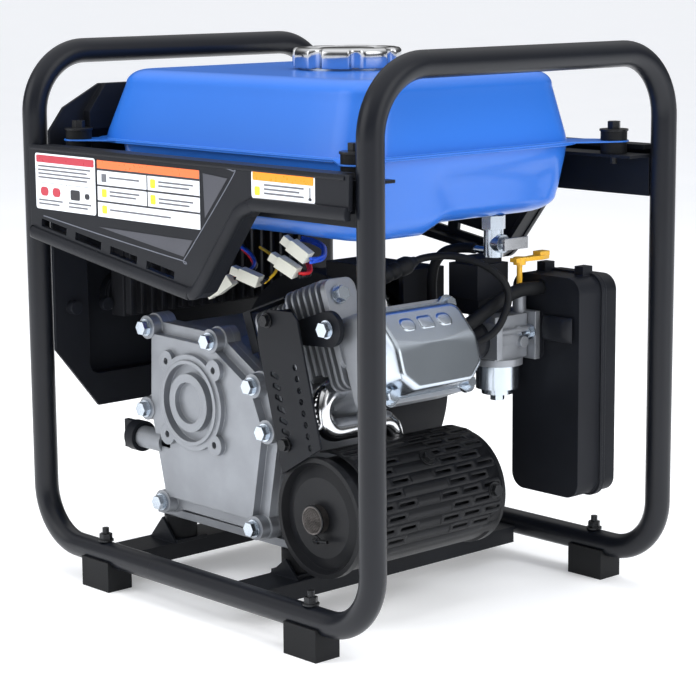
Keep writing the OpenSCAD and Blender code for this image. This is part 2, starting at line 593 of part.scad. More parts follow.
module muffler_body() color("#2c2f34") difference() {
    translate([muffler_x, muffler_y0, muffler_z]) rotate([-90, 0, 0]) rotate_extrude() difference() {
        polygon([[0, 6], [34, 3], [44, 6], [47, 0], [muffler_r, 0], [muffler_r, 7], [48, 9],
            [48, 164], [muffler_r - 1, 166], [muffler_r - 1, 172], [46, 174], [40, 168], [0, 168]]);
        polygon([[0, 8], [34, 5], [46, 10], [46.5, 162], [40, 166], [0, 166]]);
    }
    rod_y(arrestor_x, arrestor_z, 12, muffler_y0 - 2, muffler_y0 + 14);
    rod_z(pipe_x, pipe_down_y, pipe_r + eps, muffler_z + 30, 170);
}
shield_turn0 = -29;
shield_turn1 = 100;
module heat_shield() color("#25282d") difference() {
    translate([muffler_x, -112, muffler_z]) rotate([90, 0, 0]) rotate([0, 0, shield_turn0])
        mirror([0, 0, 1]) rotate_extrude(angle = shield_turn1 - shield_turn0)
            translate([53.5, 0]) square([1.4, 150]);
    for (row = [0:9], col = [0, 1]) translate([muffler_x, -66 + 62 * col + 6 * (row % 2), muffler_z])
        rotate([0, -(-20 + 11 * row), 0]) translate([50, -20, -1.9]) cube([8, 40, 3.8]);
    rod_z(pipe_x, pipe_down_y, pipe_r + 4, muffler_z + 40, 170);
}
arrestor_x = 100;
arrestor_z = 95;
module spark_arrestor() color("#6f5a44") difference() {
    rod_y(arrestor_x, arrestor_z, 11.9, muffler_y0 - 3, muffler_y0 + 12);
    rod_y(arrestor_x, arrestor_z, 10.9, muffler_y0 - 1.5, muffler_y0 + 13);
}

// ---------- intake ----------
carb_x = 120;
carb_z = 228;
port_x = crank_x + (head_u0 + 30) * cos(cyl_tilt) - vc_w * sin(cyl_tilt);
port_z = crank_z + (head_u0 + 30) * sin(cyl_tilt) + vc_w * cos(cyl_tilt);
module intake_insulator() color("#1c1d20") difference() {
    union() {
        hull() { rod_y(port_x, port_z, 17, 0, 6); rod_y(carb_x, carb_z, 17, 40, 45); }
        block([port_x - 26, 0, port_z - 14], [port_x + 26, 5, port_z + 14]);
    }
    hull() { rod_y(port_x, port_z, 10, -1, 2); rod_y(carb_x, carb_z, 10, 44, 46); }
}
module carburetor_body() color("#b0b4b8") difference() {
    union() {
        rod_y(carb_x, carb_z, 17, 45.2, 98);
        block([carb_x - 25, 45.2, carb_z - 15], [carb_x + 25, 52, carb_z + 15]);
        block([carb_x - 16, 52, carb_z - 18], [carb_x + 16, 92, carb_z + 20]);
        block([carb_x - 25, 93, carb_z - 20], [carb_x + 25, 99, carb_z + 22]);
        rod_y(carb_x + 19, carb_z + 7, 2.4, 52, 93);
        rod_x(84, carb_z - 4, 5, carb_x, carb_x + 21);
        rod_x(78, carb_z + 7, 3.5, carb_x, carb_x + 20);
        rod_z(carb_x, 72, 22, carb_z - 24, carb_z - 18);
        rod_z(carb_x, 72, 16, carb_z - 20, carb_z);
        rod_z(choke_x, choke_y, 6, carb_z + 10, carb_z + 40);
        rod_x(72, 208, 2.8, carb_x - 30, carb_x - 15);
    }
    rod_y(carb_x, carb_z, 11, 40, 110);
    rod_z(choke_x, choke_y, 2.5 + run, carb_z + 14, carb_z + 45);
}
module float_bowl() color("#c3c7cb") {
    rod_z(carb_x, 72, 19, 183, carb_z - 24.2);
    rod_z(carb_x, 72, 14, 178, 184);
    translate([carb_x, 72, 172]) cylinder(r = 6.5, h = 7, $fn = 6);
}
module throttle_actuator() color("#1a1c20") {
    block([86, 50, carb_z + 20.2], [118, 84, 262]);
    block([84, 48, 262], [119, 86, 292]);
    block([88, 52, 291], [115, 82, 297]);
}
choke_x = 126;
choke_y = 93;
module choke_lever() color("#e9b93a") {
    rod_z(choke_x, choke_y, 2.5, carb_z + 20, 294);
    rod_z(choke_x, choke_y, 5.5, 289.5, 296);
    along_z(292, 295.5) translate([choke_x, choke_y]) polygon([[-4, -8], [-3, 10], [-5, 24], [-4, 34],
        [4, 34], [6, 24], [4, 10], [4, -8]]);
    block([choke_x - 4.5, choke_y + 22, 295], [choke_x + 4.5, choke_y + 34, 299]);
}
air_x = 147;
air_z = 184;
air_w = 78;
air_h = 194;
module air_outline(t) translate([air_x, air_z]) rrect(air_w - 2 * t, air_h - 2 * t, 14 - t);
module air_box_base() color("#1c1e23") difference() {
    union() {
        along_y(air_y0, 134) air_outline(0);
        along_y(134 - 3, 134) translate([air_x, air_z]) rrect(air_w + 4, air_h + 4, 15);
        for (x = [-22, 22]) translate([air_x + x - 5, 122, air_z + air_h / 2 - 1]) cube([10, 12, 9]);
        along_y(100, air_y0 + 1) translate([carb_x, carb_z]) rrect(50, 42, 6);
    }
    along_y(air_y0 + 2.5, 135) air_outline(2.5);
    rod_y(carb_x, carb_z, 11, 98, 110);
    rod_y(141, 270, 6.3, 100, 110);
}
module air_box_cover() color("#1c1e23") difference() {
    union() {
        along_y(134.3, 152) air_outline(0);
        along_y(134.3, 137) translate([air_x, air_z]) rrect(air_w + 4, air_h + 4, 15);
    }
    along_y(133, 149.5) air_outline(2.5);
}
module air_filter() color("#5b5f52") along_y(118, 144) translate([air_x, air_z]) rrect(62, 176, 8);
breather_route = [[125, 0.2, 238], [125, 8, 238], [127, 18, 241], [129, 30, 246], [131, 44, 253],
    [133, 58, 261], [136, 72, 267], [139, 84, 270], [141, 94, 270], [141, 110, 270]];
module breather_hose() color("#1b1c1f") sweep(breather_route, 6, 16);

// ---------- alternator and recoil starter ----------
module stator() color("#9c5a2e") difference() {
    union() {
        rod_y(crank_x, crank_z, 44, 24.2, 54);
        for (k = [0:11]) translate([crank_x, 26, crank_z]) rotate([0, 30 * k, 0])
            translate([40, 0, -7]) cube([18, 26, 14]);
    }
    rod_y(crank_x, crank_z, 20, 20, 60);
}
module rotor() color("#7d8288") {
    difference() {
        union() {
            rod_y(crank_x, crank_z, 72, 26, 66);
            for (k = [0:13]) translate([crank_x, 64, crank_z]) rotate([0, 360 / 14 * k, 0])
                translate([40, 0, 0]) rotate([0, 25, 0]) cube([46, 20, 2.4]);
            rod_y(crank_x, crank_z, 92, 64, 67);
            rod_y(crank_x, crank_z, 32, 66, 90);
        }
        rod_y(crank_x, crank_z, 62, 25, 60);
        rod_y(crank_x, crank_z, 13, 50, 72);
        rod_y(crank_x, crank_z, 28, 72, 91);
    }
}
shroud_r = 102;
module fan_shroud() color("#1e2126") difference() {
    union() {
        rod_y(crank_x, crank_z, shroud_r, 18, 94);
        for (a = [45:90:315]) rod_y(crank_x + 84 * cos(a), crank_z + 84 * sin(a), 6, 15.2, 20);
        block([crank_x + 20, 20, crank_z + 60], [56, 70, 284]);
    }
    rod_y(crank_x, crank_z, shroud_r - 2.5, 20.5, 91.5);
    rod_y(crank_x, crank_z, 80, 10, 25);
    rod_y(crank_x, crank_z, 74, 90, 96);
    block([crank_x + 22.5, 22.5, crank_z + 62], [53.5, 67.5, 281.5]);
    block([crank_x + 60, 17, 235], [50, 23, 278]);
}
module recoil_cover() color("#2f6fd6") {
    difference() {
        translate([crank_x, 94.2, crank_z]) rotate([-90, 0, 0]) rotate_extrude()
            polygon([[0, 30], [0, 26.5], [66, 26.5], [73, 22], [75, 2.5], [84, 2.5], [84, 0], [77.5, 0],
                [77.5, 0], [86, 0], [86, 3], [78, 4], [76, 24], [68, 30]]);
        for (k = [0:19]) if (abs(18 * k - 90) > 25) translate([crank_x, 110, crank_z]) rotate([0, -18 * k, 0])
            translate([38, 0, -2.2]) cube([24, 30, 4.4]);
        rod_y(rope_x, rope_z, 4, 110, 130);
    }
    difference() {
        rod_y(rope_x, rope_z, 10, 124, 131);
        rod_y(rope_x, rope_z, 4, 110, 140);
    }
    rod_y(crank_x, crank_z, 8, 99, 121);
}
pulley_r = 45;
rope_x = crank_x;
rope_z = crank_z + pulley_r + 2;
module recoil_pulley() color("#e6e4dc") difference() {
    union() {
        rod_y(crank_x, crank_z, 50, 99.5, 102);
        rod_y(crank_x, crank_z, pulley_r, 101, 109);
        rod_y(crank_x, crank_z, 50, 108, 110.5);
    }
    rod_y(crank_x, crank_z, 8 + run, 98, 112);
}
module recoil_handle() color("#17181b") {
    rod_y(rope_x, rope_z, 2.2, 113, 140);
    translate([rope_x, 132, rope_z]) rotate([-90, 0, 0]) cylinder(r1 = 6, r2 = 10, h = 14);
    rod_x(155, rope_z, 11, rope_x - 34, rope_x + 34);
    for (x = [-34, 34]) translate([rope_x + x, 155, rope_z]) sphere(11);
}

// ---------- control side ----------
panel_x0 = -206;
panel_pts = [[-168, 205], [-122, 148], [122, 148], [168, 205], [168, 404], [152, 424], [112, 444],
    [-112, 444], [-152, 424], [-168, 404]];
console_x = -221;
module control_panel() color("#1d2025") difference() {
    union() {
        along_x(panel_x0, panel_x0 + 3) polygon(panel_pts);
        along_x(console_x, panel_x0 + 1) translate([0, 278]) rrect(268, 206, 14);
        hull() {
            block([panel_x0, -130, 404], [panel_x0 + 12, 130, 420]);
            block([panel_x0, -110, 430], [panel_x0 + 10, 110, 444]);
        }
        for (y = [-150, -115, 115, 150]) rod_x(y, 243, 6, panel_x0 + 2, panel_x0 + 12);
    }
    along_x(console_x + 3, panel_x0 + 6) translate([0, 278]) rrect(262, 200, 11);
    hull() {
        block([panel_x0 + 3, -127, 400], [panel_x0 + 9, 127, 420]);
        block([panel_x0 + 3, -107, 430], [panel_x0 + 7, 107, 441]);
    }
    for (s = [-1, 1]) translate([panel_x0, s * 153, 368]) cube([14, 34, 40], center = true);
    for (p = switch_places) rod_y(switch_x, p[1], 12.4, p[0] - 10.4, p[0] + 10.4);
    rod_x(breaker_y, breaker_z, 6.3, console_x - 1, console_x + 10);
    for (p = outlet_places) rod_x(p[0], p[1], 17.3, console_x - 1, console_x + 10);
}
switch_places = [[110, 340], [70, 340]];
breaker_y = 30;
breaker_z = 340;
outlet_places = [[-90, 250], [-50, 250], [30, 250], [70, 250]];
module outlets() color("#d9d6cd") for (p = outlet_places) difference() {
    union() {
        rod_x(p[0], p[1], 17, console_x - 2, console_x + 12);
        rod_x(p[0], p[1], 15, console_x + 10, console_x + 14);
    }
    for (s = [-1, 1])
        block([console_x - 3, p[0] + s * 6 - 1, p[1] - 1], [console_x + 10, p[0] + s * 6 + 1, p[1] + 7]);
    rod_x(p[0], p[1] - 8, 2.5, console_x - 3, console_x + 10);
}
module rocker(p) along_y(p[0] - 10, p[0] + 10) translate([switch_x, p[1]]) intersection() {
    circle(12);
    polygon([[-4.2, 0], [-9.3, 11.5], [5, 11.5], [5, -11.5], [-4.2, -11.5]]);
}
module engine_switch() color("#a51f1f") rocker(switch_places[0]);
module economy_switch() color("#17181b") rocker(switch_places[1]);
module breaker_button() color("#17181b") {
    rod_x(breaker_y, breaker_z, 6, console_x - 5, console_x + 8);
    rod_x(breaker_y, breaker_z, 8, console_x + 7, console_x + 9);
}
module inverter_module() color("#7c8187") {
    block([-198, -108, 232], [-180, 108, 382]);
    for (k = [0:17]) block([-181, -105 + 12 * k, 234], [-173, -102.5 + 12 * k, 380]);
}

// ---------- wiring ----------
module plug_pair(x, y, z, turn) translate([x, y, z]) rotate([0, turn, 25]) {
    cube([19, 12, 10], center = true);
    translate([-13, 0, 0]) cube([9, 9, 7], center = true);
}
connector_places = [[58, -115, 301.5, 30], [73, -115, 316, 35], [-26, -115, 278, -35], [9, -115, 288, 20]];
module wire_connectors() color("#e9e6dc") for (p = connector_places) plug_pair(p[0], p[1], p[2], p[3]);
wire_routes = [
    [[67.8, -110.4, 295.3], [67, -99, 296], [50, -86, 303], [30, -76, 304], [10, -60, 305],
        [-20, -40, 306]],
    [[82.3, -110.7, 308.8], [78, -96, 309], [64, -80, 310], [40, -60, 312], [10, -44, 312],
        [-20, -30, 310]],
    [[-16.7, -110.7, 285.2], [-14, -98, 289], [-24, -82, 292], [-50, -64, 296], [-80, -50, 300]],
    [[19.6, -110, 283.7], [18, -96, 290], [4, -80, 297], [-20, -66, 299], [-50, -52, 302]]];
module wiring() color("#b32424") for (r = wire_routes) sweep(r, 2.4, 8, [0, 0, 1]);

frame_hoop_left();
frame_hoop_right();
engine_rails();
rubber_feet();
frame_bolts();
side_panel_front();
side_panel_rear();
tank_beams();
tank_upper_shell();
tank_lower_shell();
filler_neck();
fuel_cap();
cap_seal();
tank_isolators();
fuel_valve();
fuel_valve_lever();
fuel_hose();
crankcase();
crankcase_cover();
engine_bolts();
cylinder_head();
valve_cover();
crankshaft();
camshaft();
piston();
connecting_rod();
dipstick_cap();
spark_plug();
plug_boot();
ignition_lead();
engine_mounts();
cooling_shroud();
exhaust_guard();
exhaust_pipe();
muffler_body();
heat_shield();
spark_arrestor();
intake_insulator();
carburetor_body();
float_bowl();
throttle_actuator();
choke_lever();
air_box_base();
air_box_cover();
air_filter();
breather_hose();
stator();
rotor();
fan_shroud();
recoil_cover();
recoil_pulley();
recoil_handle();
control_panel();
outlets();
engine_switch();
economy_switch();
breaker_button();
inverter_module();
wire_connectors();
wiring();
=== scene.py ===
"""Portable generator: the looks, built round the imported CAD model. Metres, +Z up."""

import json
import math

import bmesh
import bpy
from mathutils import Matrix, Vector


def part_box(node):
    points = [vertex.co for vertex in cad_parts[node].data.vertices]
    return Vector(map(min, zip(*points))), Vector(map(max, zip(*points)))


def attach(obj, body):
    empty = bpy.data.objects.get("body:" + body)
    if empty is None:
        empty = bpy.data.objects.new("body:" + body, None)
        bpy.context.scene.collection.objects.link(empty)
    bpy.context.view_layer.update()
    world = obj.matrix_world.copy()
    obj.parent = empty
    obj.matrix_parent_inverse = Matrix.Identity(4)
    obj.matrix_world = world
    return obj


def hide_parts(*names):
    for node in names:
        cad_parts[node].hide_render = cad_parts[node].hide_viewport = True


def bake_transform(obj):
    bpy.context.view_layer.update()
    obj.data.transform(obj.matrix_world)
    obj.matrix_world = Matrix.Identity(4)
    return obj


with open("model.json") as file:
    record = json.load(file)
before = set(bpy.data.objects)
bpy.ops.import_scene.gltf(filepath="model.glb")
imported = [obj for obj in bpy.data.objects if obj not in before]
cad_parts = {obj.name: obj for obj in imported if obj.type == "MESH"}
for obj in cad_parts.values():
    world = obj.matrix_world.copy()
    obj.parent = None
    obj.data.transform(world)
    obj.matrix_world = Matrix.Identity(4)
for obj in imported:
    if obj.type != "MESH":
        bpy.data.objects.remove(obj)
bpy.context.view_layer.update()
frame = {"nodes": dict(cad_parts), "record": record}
nodes = frame["nodes"]
MM = 0.001
ROOT = "chassis"


def box(name):
    """Lowest and highest corner of a CAD node, in millimetres."""
    lo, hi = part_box(name)
    return Vector(lo) / MM, Vector(hi) / MM


# ---------- materials ----------
class Shader:
    """A Principled material with object-space noise for colour, gloss and relief."""

    def __init__(self, name, metallic=0.0, coat=0.0, coat_rough=0.1, specular=0.5):
        self.material = bpy.data.materials.new(name)
        self.material.use_nodes = True
        self.tree = self.material.node_tree
        self.bsdf = self.tree.nodes["Principled BSDF"]
        self.bsdf.inputs["Metallic"].default_value = metallic
        self.bsdf.inputs["Coat Weight"].default_value = coat
        self.bsdf.inputs["Coat Roughness"].default_value = coat_rough
        self.bsdf.inputs["Specular IOR Level"].default_value = specular
        self.coords = self.node("ShaderNodeTexCoord").outputs["Object"]

    def node(self, kind, **values):
        made = self.tree.nodes.new(kind)
        for key, value in values.items():
            setattr(made, key, value)
        return made

    def link(self, a, b):
        self.tree.links.new(a, b)

    def noise(self, scale, detail=3.0, stretch=(1, 1, 1)):
        mapping = self.node("ShaderNodeMapping")
        mapping.inputs["Scale"].default_value = stretch
        self.link(self.coords, mapping.inputs["Vector"])
        made = self.node("ShaderNodeTexNoise")
        made.inputs["Scale"].default_value = scale
        made.inputs["Detail"].default_value = detail
        self.link(mapping.outputs["Vector"], made.inputs["Vector"])
        return made.outputs["Fac"]

    def remap(self, value, low, high, from_low=0.3, from_high=0.7):
        made = self.node("ShaderNodeMapRange")
        for socket, number in zip(("From Min", "From Max", "To Min", "To Max"),
                                  (from_low, from_high, low, high)):
            made.inputs[socket].default_value = number
        self.link(value, made.inputs["Value"])
        return made.outputs["Result"]

    def mix(self, factor, a, b):
        made = self.node("ShaderNodeMix", data_type="RGBA")
        self.link(factor, made.inputs["Factor"])
        for socket, colour in (("A", a), ("B", b)):
            slot = [s for s in made.inputs if s.name == socket and s.type == "RGBA"][0]
            if isinstance(colour, tuple):
                slot.default_value = (*colour, 1)
            else:
                self.link(colour, slot)
        return [s for s in made.outputs if s.type == "RGBA"][0]


def finish(name, colour, rough, metallic=0.0, coat=0.0, coat_rough=0.1, vary=0.12, blotch=22.0,
           grain=900.0, depth=0.03, rough_vary=0.08, edge=0.0007, wear_and_highlight=0.25, worn_and_lit=None,
           stretch=(1, 1, 1), specular=0.5):
    """One finish: blotchy colour, grain in gloss and relief, and rounded edges that are lightened partly as
    wear and partly as a painted edge highlight.
    """
    s = Shader(name, metallic, coat, coat_rough, specular)
    dark = tuple(c * (1 - vary) for c in colour)
    light = tuple(min(1.0, c * (1 + vary)) for c in colour)
    base = s.mix(s.remap(s.noise(blotch, 5.0), 0, 1), dark, light)
    grains = s.noise(grain, 2.0, stretch)
    s.link(s.remap(grains, rough - rough_vary, rough + rough_vary), s.bsdf.inputs["Roughness"])
    bevel = s.node("ShaderNodeBevel", samples=4)
    bevel.inputs["Radius"].default_value = edge
    bump = s.node("ShaderNodeBump")
    bump.inputs["Strength"].default_value = 0.6
    bump.inputs["Distance"].default_value = depth * MM
    s.link(grains, bump.inputs["Height"])
    s.link(bevel.outputs["Normal"], bump.inputs["Normal"])
    s.link(bump.outputs["Normal"], s.bsdf.inputs["Normal"])
    # Every rounded edge is lightened towards a paler colour: partly wear, partly a painted edge highlight.
    if wear_and_highlight:
        dot = s.node("ShaderNodeVectorMath", operation="DOT_PRODUCT")
        s.link(bevel.outputs["Normal"], dot.inputs[0])
        s.link(s.node("ShaderNodeNewGeometry").outputs["Normal"], dot.inputs[1])
        wear_and_highlight_mask = s.remap(dot.outputs["Value"], wear_and_highlight, 0.0, 0.75, 0.98)
        worn_and_lit = worn_and_lit or tuple(min(1.0, c * 1.8 + 0.02) for c in colour)
        base = s.mix(wear_and_highlight_mask, base, worn_and_lit)
    s.link(base, s.bsdf.inputs["Base Color"])
    return s.material


# Paler edge colour for black parts: partly wear, partly a painted edge highlight.
BLACK_WORN_AND_LIT_EDGE = (0.045, 0.05, 0.062)
FINISHES = {
    "painted_tube": finish("powder_coat", (0.0055, 0.0065, 0.0095), 0.33, coat=0.06, coat_rough=0.25,
                           specular=0.3,
                           grain=2600, depth=0.012, rough_vary=0.03, wear_and_highlight=0.0, vary=0.08),
    "black_steel": finish("black_steel_paint", (0.006, 0.007, 0.0095), 0.45, grain=2200, depth=0.015,
                          specular=0.2,
                          worn_and_lit=BLACK_WORN_AND_LIT_EDGE, wear_and_highlight=0.35),
    "black_bolt": finish("black_oxide", (0.018, 0.019, 0.021), 0.33, metallic=0.6, grain=1500,
                         depth=0.015, worn_and_lit=(0.16, 0.16, 0.17), wear_and_highlight=0.45, edge=0.0004),
    "rubber": finish("moulded_rubber", (0.0065, 0.007, 0.008), 0.55, grain=1800, depth=0.03, specular=0.2,
                     worn_and_lit=(0.03, 0.03, 0.033), wear_and_highlight=0.3),
    "black_plastic": finish("grained_plastic", (0.0075, 0.0085, 0.0115), 0.46, grain=2600, depth=0.03,
                            specular=0.22,
                            worn_and_lit=BLACK_WORN_AND_LIT_EDGE, wear_and_highlight=0.28, edge=0.001),
    # The tank's paler blue along its edges is a painted edge highlight.
    "tank_blue": finish("gloss_blue_paint", (0.018, 0.125, 0.5), 0.36, coat=0.4, coat_rough=0.14,
                        specular=0.35,
                        grain=1400, depth=0.002, rough_vary=0.02, vary=0.03, blotch=6,
                        worn_and_lit=(0.12, 0.34, 0.9), wear_and_highlight=0.35, edge=0.001),
    "zinc": finish("bright_zinc", (0.56, 0.62, 0.69), 0.24, metallic=1.0, grain=1200, depth=0.002,
                   vary=0.04, blotch=30, rough_vary=0.02, edge=0.0004, wear_and_highlight=0.0),
    "chrome": finish("polished_chrome", (0.7, 0.71, 0.73), 0.13, metallic=1.0, grain=900, depth=0.004,
                     rough_vary=0.03, vary=0.04, edge=0.0008, wear_and_highlight=0.0),
    "cast_aluminium": finish("die_cast_aluminium", (0.3, 0.315, 0.34), 0.46, metallic=0.72,
                             grain=1800, depth=0.06, vary=0.08, blotch=35, rough_vary=0.08,
                             worn_and_lit=(0.5, 0.52, 0.55), wear_and_highlight=0.6, edge=0.0012),
    "machined_steel": finish("machined_steel", (0.5, 0.51, 0.53), 0.28, metallic=1.0, grain=500,
                             depth=0.04, stretch=(1, 8, 1), wear_and_highlight=0.0, edge=0.0004),
    "exhaust_steel": finish("heat_black_paint", (0.006, 0.0065, 0.008), 0.42, grain=2000, depth=0.02,
                            specular=0.22,
                            worn_and_lit=(0.04, 0.04, 0.046), wear_and_highlight=0.3, edge=0.0004),
    "mesh_steel": finish("tinted_wire", (0.12, 0.11, 0.105), 0.38, metallic=0.8, grain=400,
                         vary=0.4, blotch=120, wear_and_highlight=0.0, edge=0.0003),
    "yellow_plastic": finish("yellow_plastic", (0.8, 0.44, 0.035), 0.36, grain=900, depth=0.04,
                             worn_and_lit=(0.95, 0.68, 0.2), wear_and_highlight=0.4, vary=0.06),
    "copper": finish("copper_windings", (0.55, 0.22, 0.09), 0.3, metallic=0.9, grain=300, depth=0.3,
                     stretch=(6, 1, 6), wear_and_highlight=0.0),
    "blue_plastic": finish("blue_plastic", (0.03, 0.14, 0.62), 0.36, grain=1100, depth=0.05,
                           worn_and_lit=(0.15, 0.32, 0.85), wear_and_highlight=0.4),
    "white_plastic": finish("off_white_nylon", (0.68, 0.68, 0.6), 0.42, grain=800, depth=0.04,
                            worn_and_lit=(0.9, 0.9, 0.84), wear_and_highlight=0.5, vary=0.07, edge=0.0004),
    "foam": finish("filter_foam", (0.1, 0.1, 0.085), 0.9, grain=420, depth=0.9, wear_and_highlight=0.0),
    "red_plastic": finish("red_rocker", (0.5, 0.02, 0.02), 0.25, grain=900, wear_and_highlight=0.3),
    "heatsink": finish("black_anodised", (0.02, 0.021, 0.025), 0.45, metallic=0.5, grain=500,
                       stretch=(1, 1, 9), wear_and_highlight=0.4),
    "wire": finish("red_insulation", (0.62, 0.02, 0.025), 0.34, grain=700, wear_and_highlight=0.0, depth=0.02),
    "ceramic": finish("glazed_ceramic", (0.75, 0.74, 0.7), 0.16, grain=500, wear_and_highlight=0.2),
}
EXTRA = {
    "shield_black": finish("shield_black", (0.006, 0.0065, 0.008), 0.42, grain=2000, depth=0.02,
                           specular=0.22, wear_and_highlight=0.0, edge=0.0003),
    "blue_wire": finish("blue_insulation", (0.02, 0.09, 0.6), 0.34, grain=700, wear_and_highlight=0.0, depth=0.02),
    "yellow_wire": finish("yellow_insulation", (0.8, 0.5, 0.02), 0.34, grain=700, wear_and_highlight=0.0, depth=0.02),
    "black_wire": finish("black_insulation", (0.012, 0.012, 0.014), 0.3, grain=700, wear_and_highlight=0.0, depth=0.03),
    "label_white": finish("label_white", (0.78, 0.81, 0.86), 0.34, grain=300, depth=0.01, vary=0.02,
                          wear_and_highlight=0.0, edge=0.0002),
    "label_red": finish("label_red", (0.42, 0.035, 0.055), 0.34, grain=300, depth=0.01, vary=0.03, wear_and_highlight=0.0),
    "label_orange": finish("label_orange", (0.8, 0.16, 0.045), 0.34, grain=300, depth=0.01, vary=0.03,
                           wear_and_highlight=0.0),
    "label_bright": finish("label_bright_orange", (0.95, 0.27, 0.01), 0.32, grain=300, depth=0.01,
                           vary=0.03, wear_and_highlight=0.0),
    "label_black": finish("label_black", (0.02, 0.02, 0.025), 0.4, grain=300, depth=0.01, wear_and_highlight=0.0),
    "label_yellow": finish("label_yellow", (0.75, 0.6, 0.03), 0.34, grain=300, depth=0.01, wear_and_highlight=0.0),
    "label_grey": finish("label_grey", (0.12, 0.125, 0.14), 0.4, grain=300, depth=0.01, wear_and_highlight=0.0),
    "facet_grey": finish("facet_grey", (0.05, 0.052, 0.064), 0.5, grain=1300, depth=0.05, wear_and_highlight=0.0),
    "outline_grey": finish("outline_grey", (0.13, 0.14, 0.17), 0.4, grain=600, wear_and_highlight=0.0),
}
# Parts whose own finish differs from others in the same slot.
OWN_FINISH = {"recoil_cover": "black_plastic", "valve_cover": "zinc", "outlets": "black_plastic"}
for entry in frame["record"]["subparts"]:
    part = nodes[entry["node"]]
    part.data.materials.clear()
    part.data.materials.append(FINISHES[OWN_FINISH.get(entry["node"], entry["material_slot"])])


# ---------- mesh helpers (all in millimetres) ----------
def piece(name, points, faces, material, body=ROOT, crease=35, replaces=(), slot=None, smooth=True):
    mesh = bpy.data.meshes.new(name)
    mesh.from_pydata([tuple(c * MM for c in p) for p in points], [], faces)
    mesh.validate()
    mesh.update()
    made = bpy.data.objects.new(name, mesh)
    bpy.context.scene.collection.objects.link(made)
    for one in material if isinstance(material, (list, tuple)) else [material]:
        mesh.materials.append(one)
    if smooth:
        mesh.shade_smooth()
        mesh.set_sharp_from_angle(angle=math.radians(crease))
    if body:
        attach(made, body)
    if replaces:
        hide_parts(*replaces)
    return made


def fix_normals(made):
    work = bmesh.new()
    work.from_mesh(made.data)
    bmesh.ops.remove_doubles(work, verts=work.verts, dist=0.002 * MM)
    bmesh.ops.recalc_face_normals(work, faces=work.faces)
    work.to_mesh(made.data)
    work.free()
    return made


def loft(rings, caps=True, closed=False):
    """Skins rings of equal length; CAPS closes the ends, CLOSED joins the last ring to the first."""
    n = len(rings[0])
    points = [p for ring in rings for p in ring]
    pairs = [(i, i + 1) for i in range(len(rings) - 1)] + ([(len(rings) - 1, 0)] if closed else [])
    faces = [(a * n + k, a * n + (k + 1) % n, b * n + (k + 1) % n, b * n + k)
             for a, b in pairs for k in range(n)]
    if caps and not closed:
        faces += [tuple(range(n))[::-1], tuple((len(rings) - 1) * n + k for k in range(n))]
    return points, faces


def rounded_rect(w, d, r, corner=10, side=8):
    r = max(0.2, min(r, w / 2, d / 2))
    ring = []
    for k, (sx, sy) in enumerate(((1, 1), (-1, 1), (-1, -1), (1, -1))):
        cx, cy = sx * (w / 2 - r), sy * (d / 2 - r)
        for i in range(corner + 1):
            a = math.radians(90 * k + 90 * i / corner)
            ring.append((cx + r * math.cos(a), cy + r * math.sin(a)))
        nx, ny = ((-1, 1), (-1, -1), (1, -1), (1, 1))[k]
        ax, ay = ring[-1]
        bx, by = nx * (w / 2 - r), ny * (d / 2 - r)
        a = math.radians(90 * (k + 1))
        bx, by = bx + r * math.cos(a), by + r * math.sin(a)
        ring += [(ax + (bx - ax) * i / side, ay + (by - ay) * i / side) for i in range(1, side)]
    return ring


def circle(r, n, phase=0.0):
    return [(r * math.cos(phase + 2 * math.pi * k / n), r * math.sin(phase + 2 * math.pi * k / n))
            for k in range(n)]


def step(x, a, b):
    t = max(0.0, min(1.0, (x - a) / (b - a)))
    return t * t * (3 - 2 * t)


def hull(points):
    """Convex hull of plane points, counter-clockwise."""
    points = sorted(set(points))
    chains = []
    for order in (points, points[::-1]):
        chain = []
        for p in order:
            while len(chain) > 1 and ((chain[-1][0] - chain[-2][0]) * (p[1] - chain[-2][1])
                                      - (chain[-1][1] - chain[-2][1]) * (p[0] - chain[-2][0])) <= 0:
                chain.pop()
            chain.append(p)
        chains += chain[:-1]
    return chains


def prism(outline, low, high, place):
    """A plate over a plane outline; PLACE turns (a, b, height) into a point."""
    n = len(outline)
    points = [place(a, b, low) for a, b in outline] + [place(a, b, high) for a, b in outline]
    faces = [tuple(range(n))[::-1], tuple(range(n, 2 * n))]
    faces += [(k, (k + 1) % n, n + (k + 1) % n, n + k) for k in range(n)]
    return points, faces


def join(parts):
    """Joins (points, faces) lists into one."""
    points, faces = [], []
    for more_points, more_faces in parts:
        base = len(points)
        points += more_points
        faces += [tuple(base + i for i in face) for face in more_faces]
    return points, faces


def smooth_route(route, per=6):
    """Catmull-Rom points through a route."""
    out = []
    pts = [Vector(p) for p in route]
    for i in range(len(pts) - 1):
        p0, p1, p2, p3 = pts[max(i - 1, 0)], pts[i], pts[i + 1], pts[min(i + 2, len(pts) - 1)]
        for k in range(per):
            t = k / per
            out.append(0.5 * ((2 * p1) + (p2 - p0) * t + (2 * p0 - 5 * p1 + 4 * p2 - p3) * t * t
                              + (3 * p1 - p0 - 3 * p2 + p3) * t ** 3))
    return out + [pts[-1]]


def tube(route, radius, sides=16):
    """A round tube along a route. RADIUS may be a function of the place along it, 0 to 1."""
    n = len(route)
    rings = []
    side = None
    for i, p in enumerate(route):
        t = (route[min(i + 1, n - 1)] - route[max(i - 1, 0)]).normalized()
        if side is None:
            side = t.cross(Vector((0.3, 0.2, 1))).normalized()
        side = (side - t * side.dot(t)).normalized()
        up = t.cross(side)
        r = radius(i / (n - 1)) if callable(radius) else radius
        rings.append([p + side * (r * math.cos(a)) + up * (r * math.sin(a))
                      for a in (2 * math.pi * k / sides for k in range(sides))])
    return loft(rings)


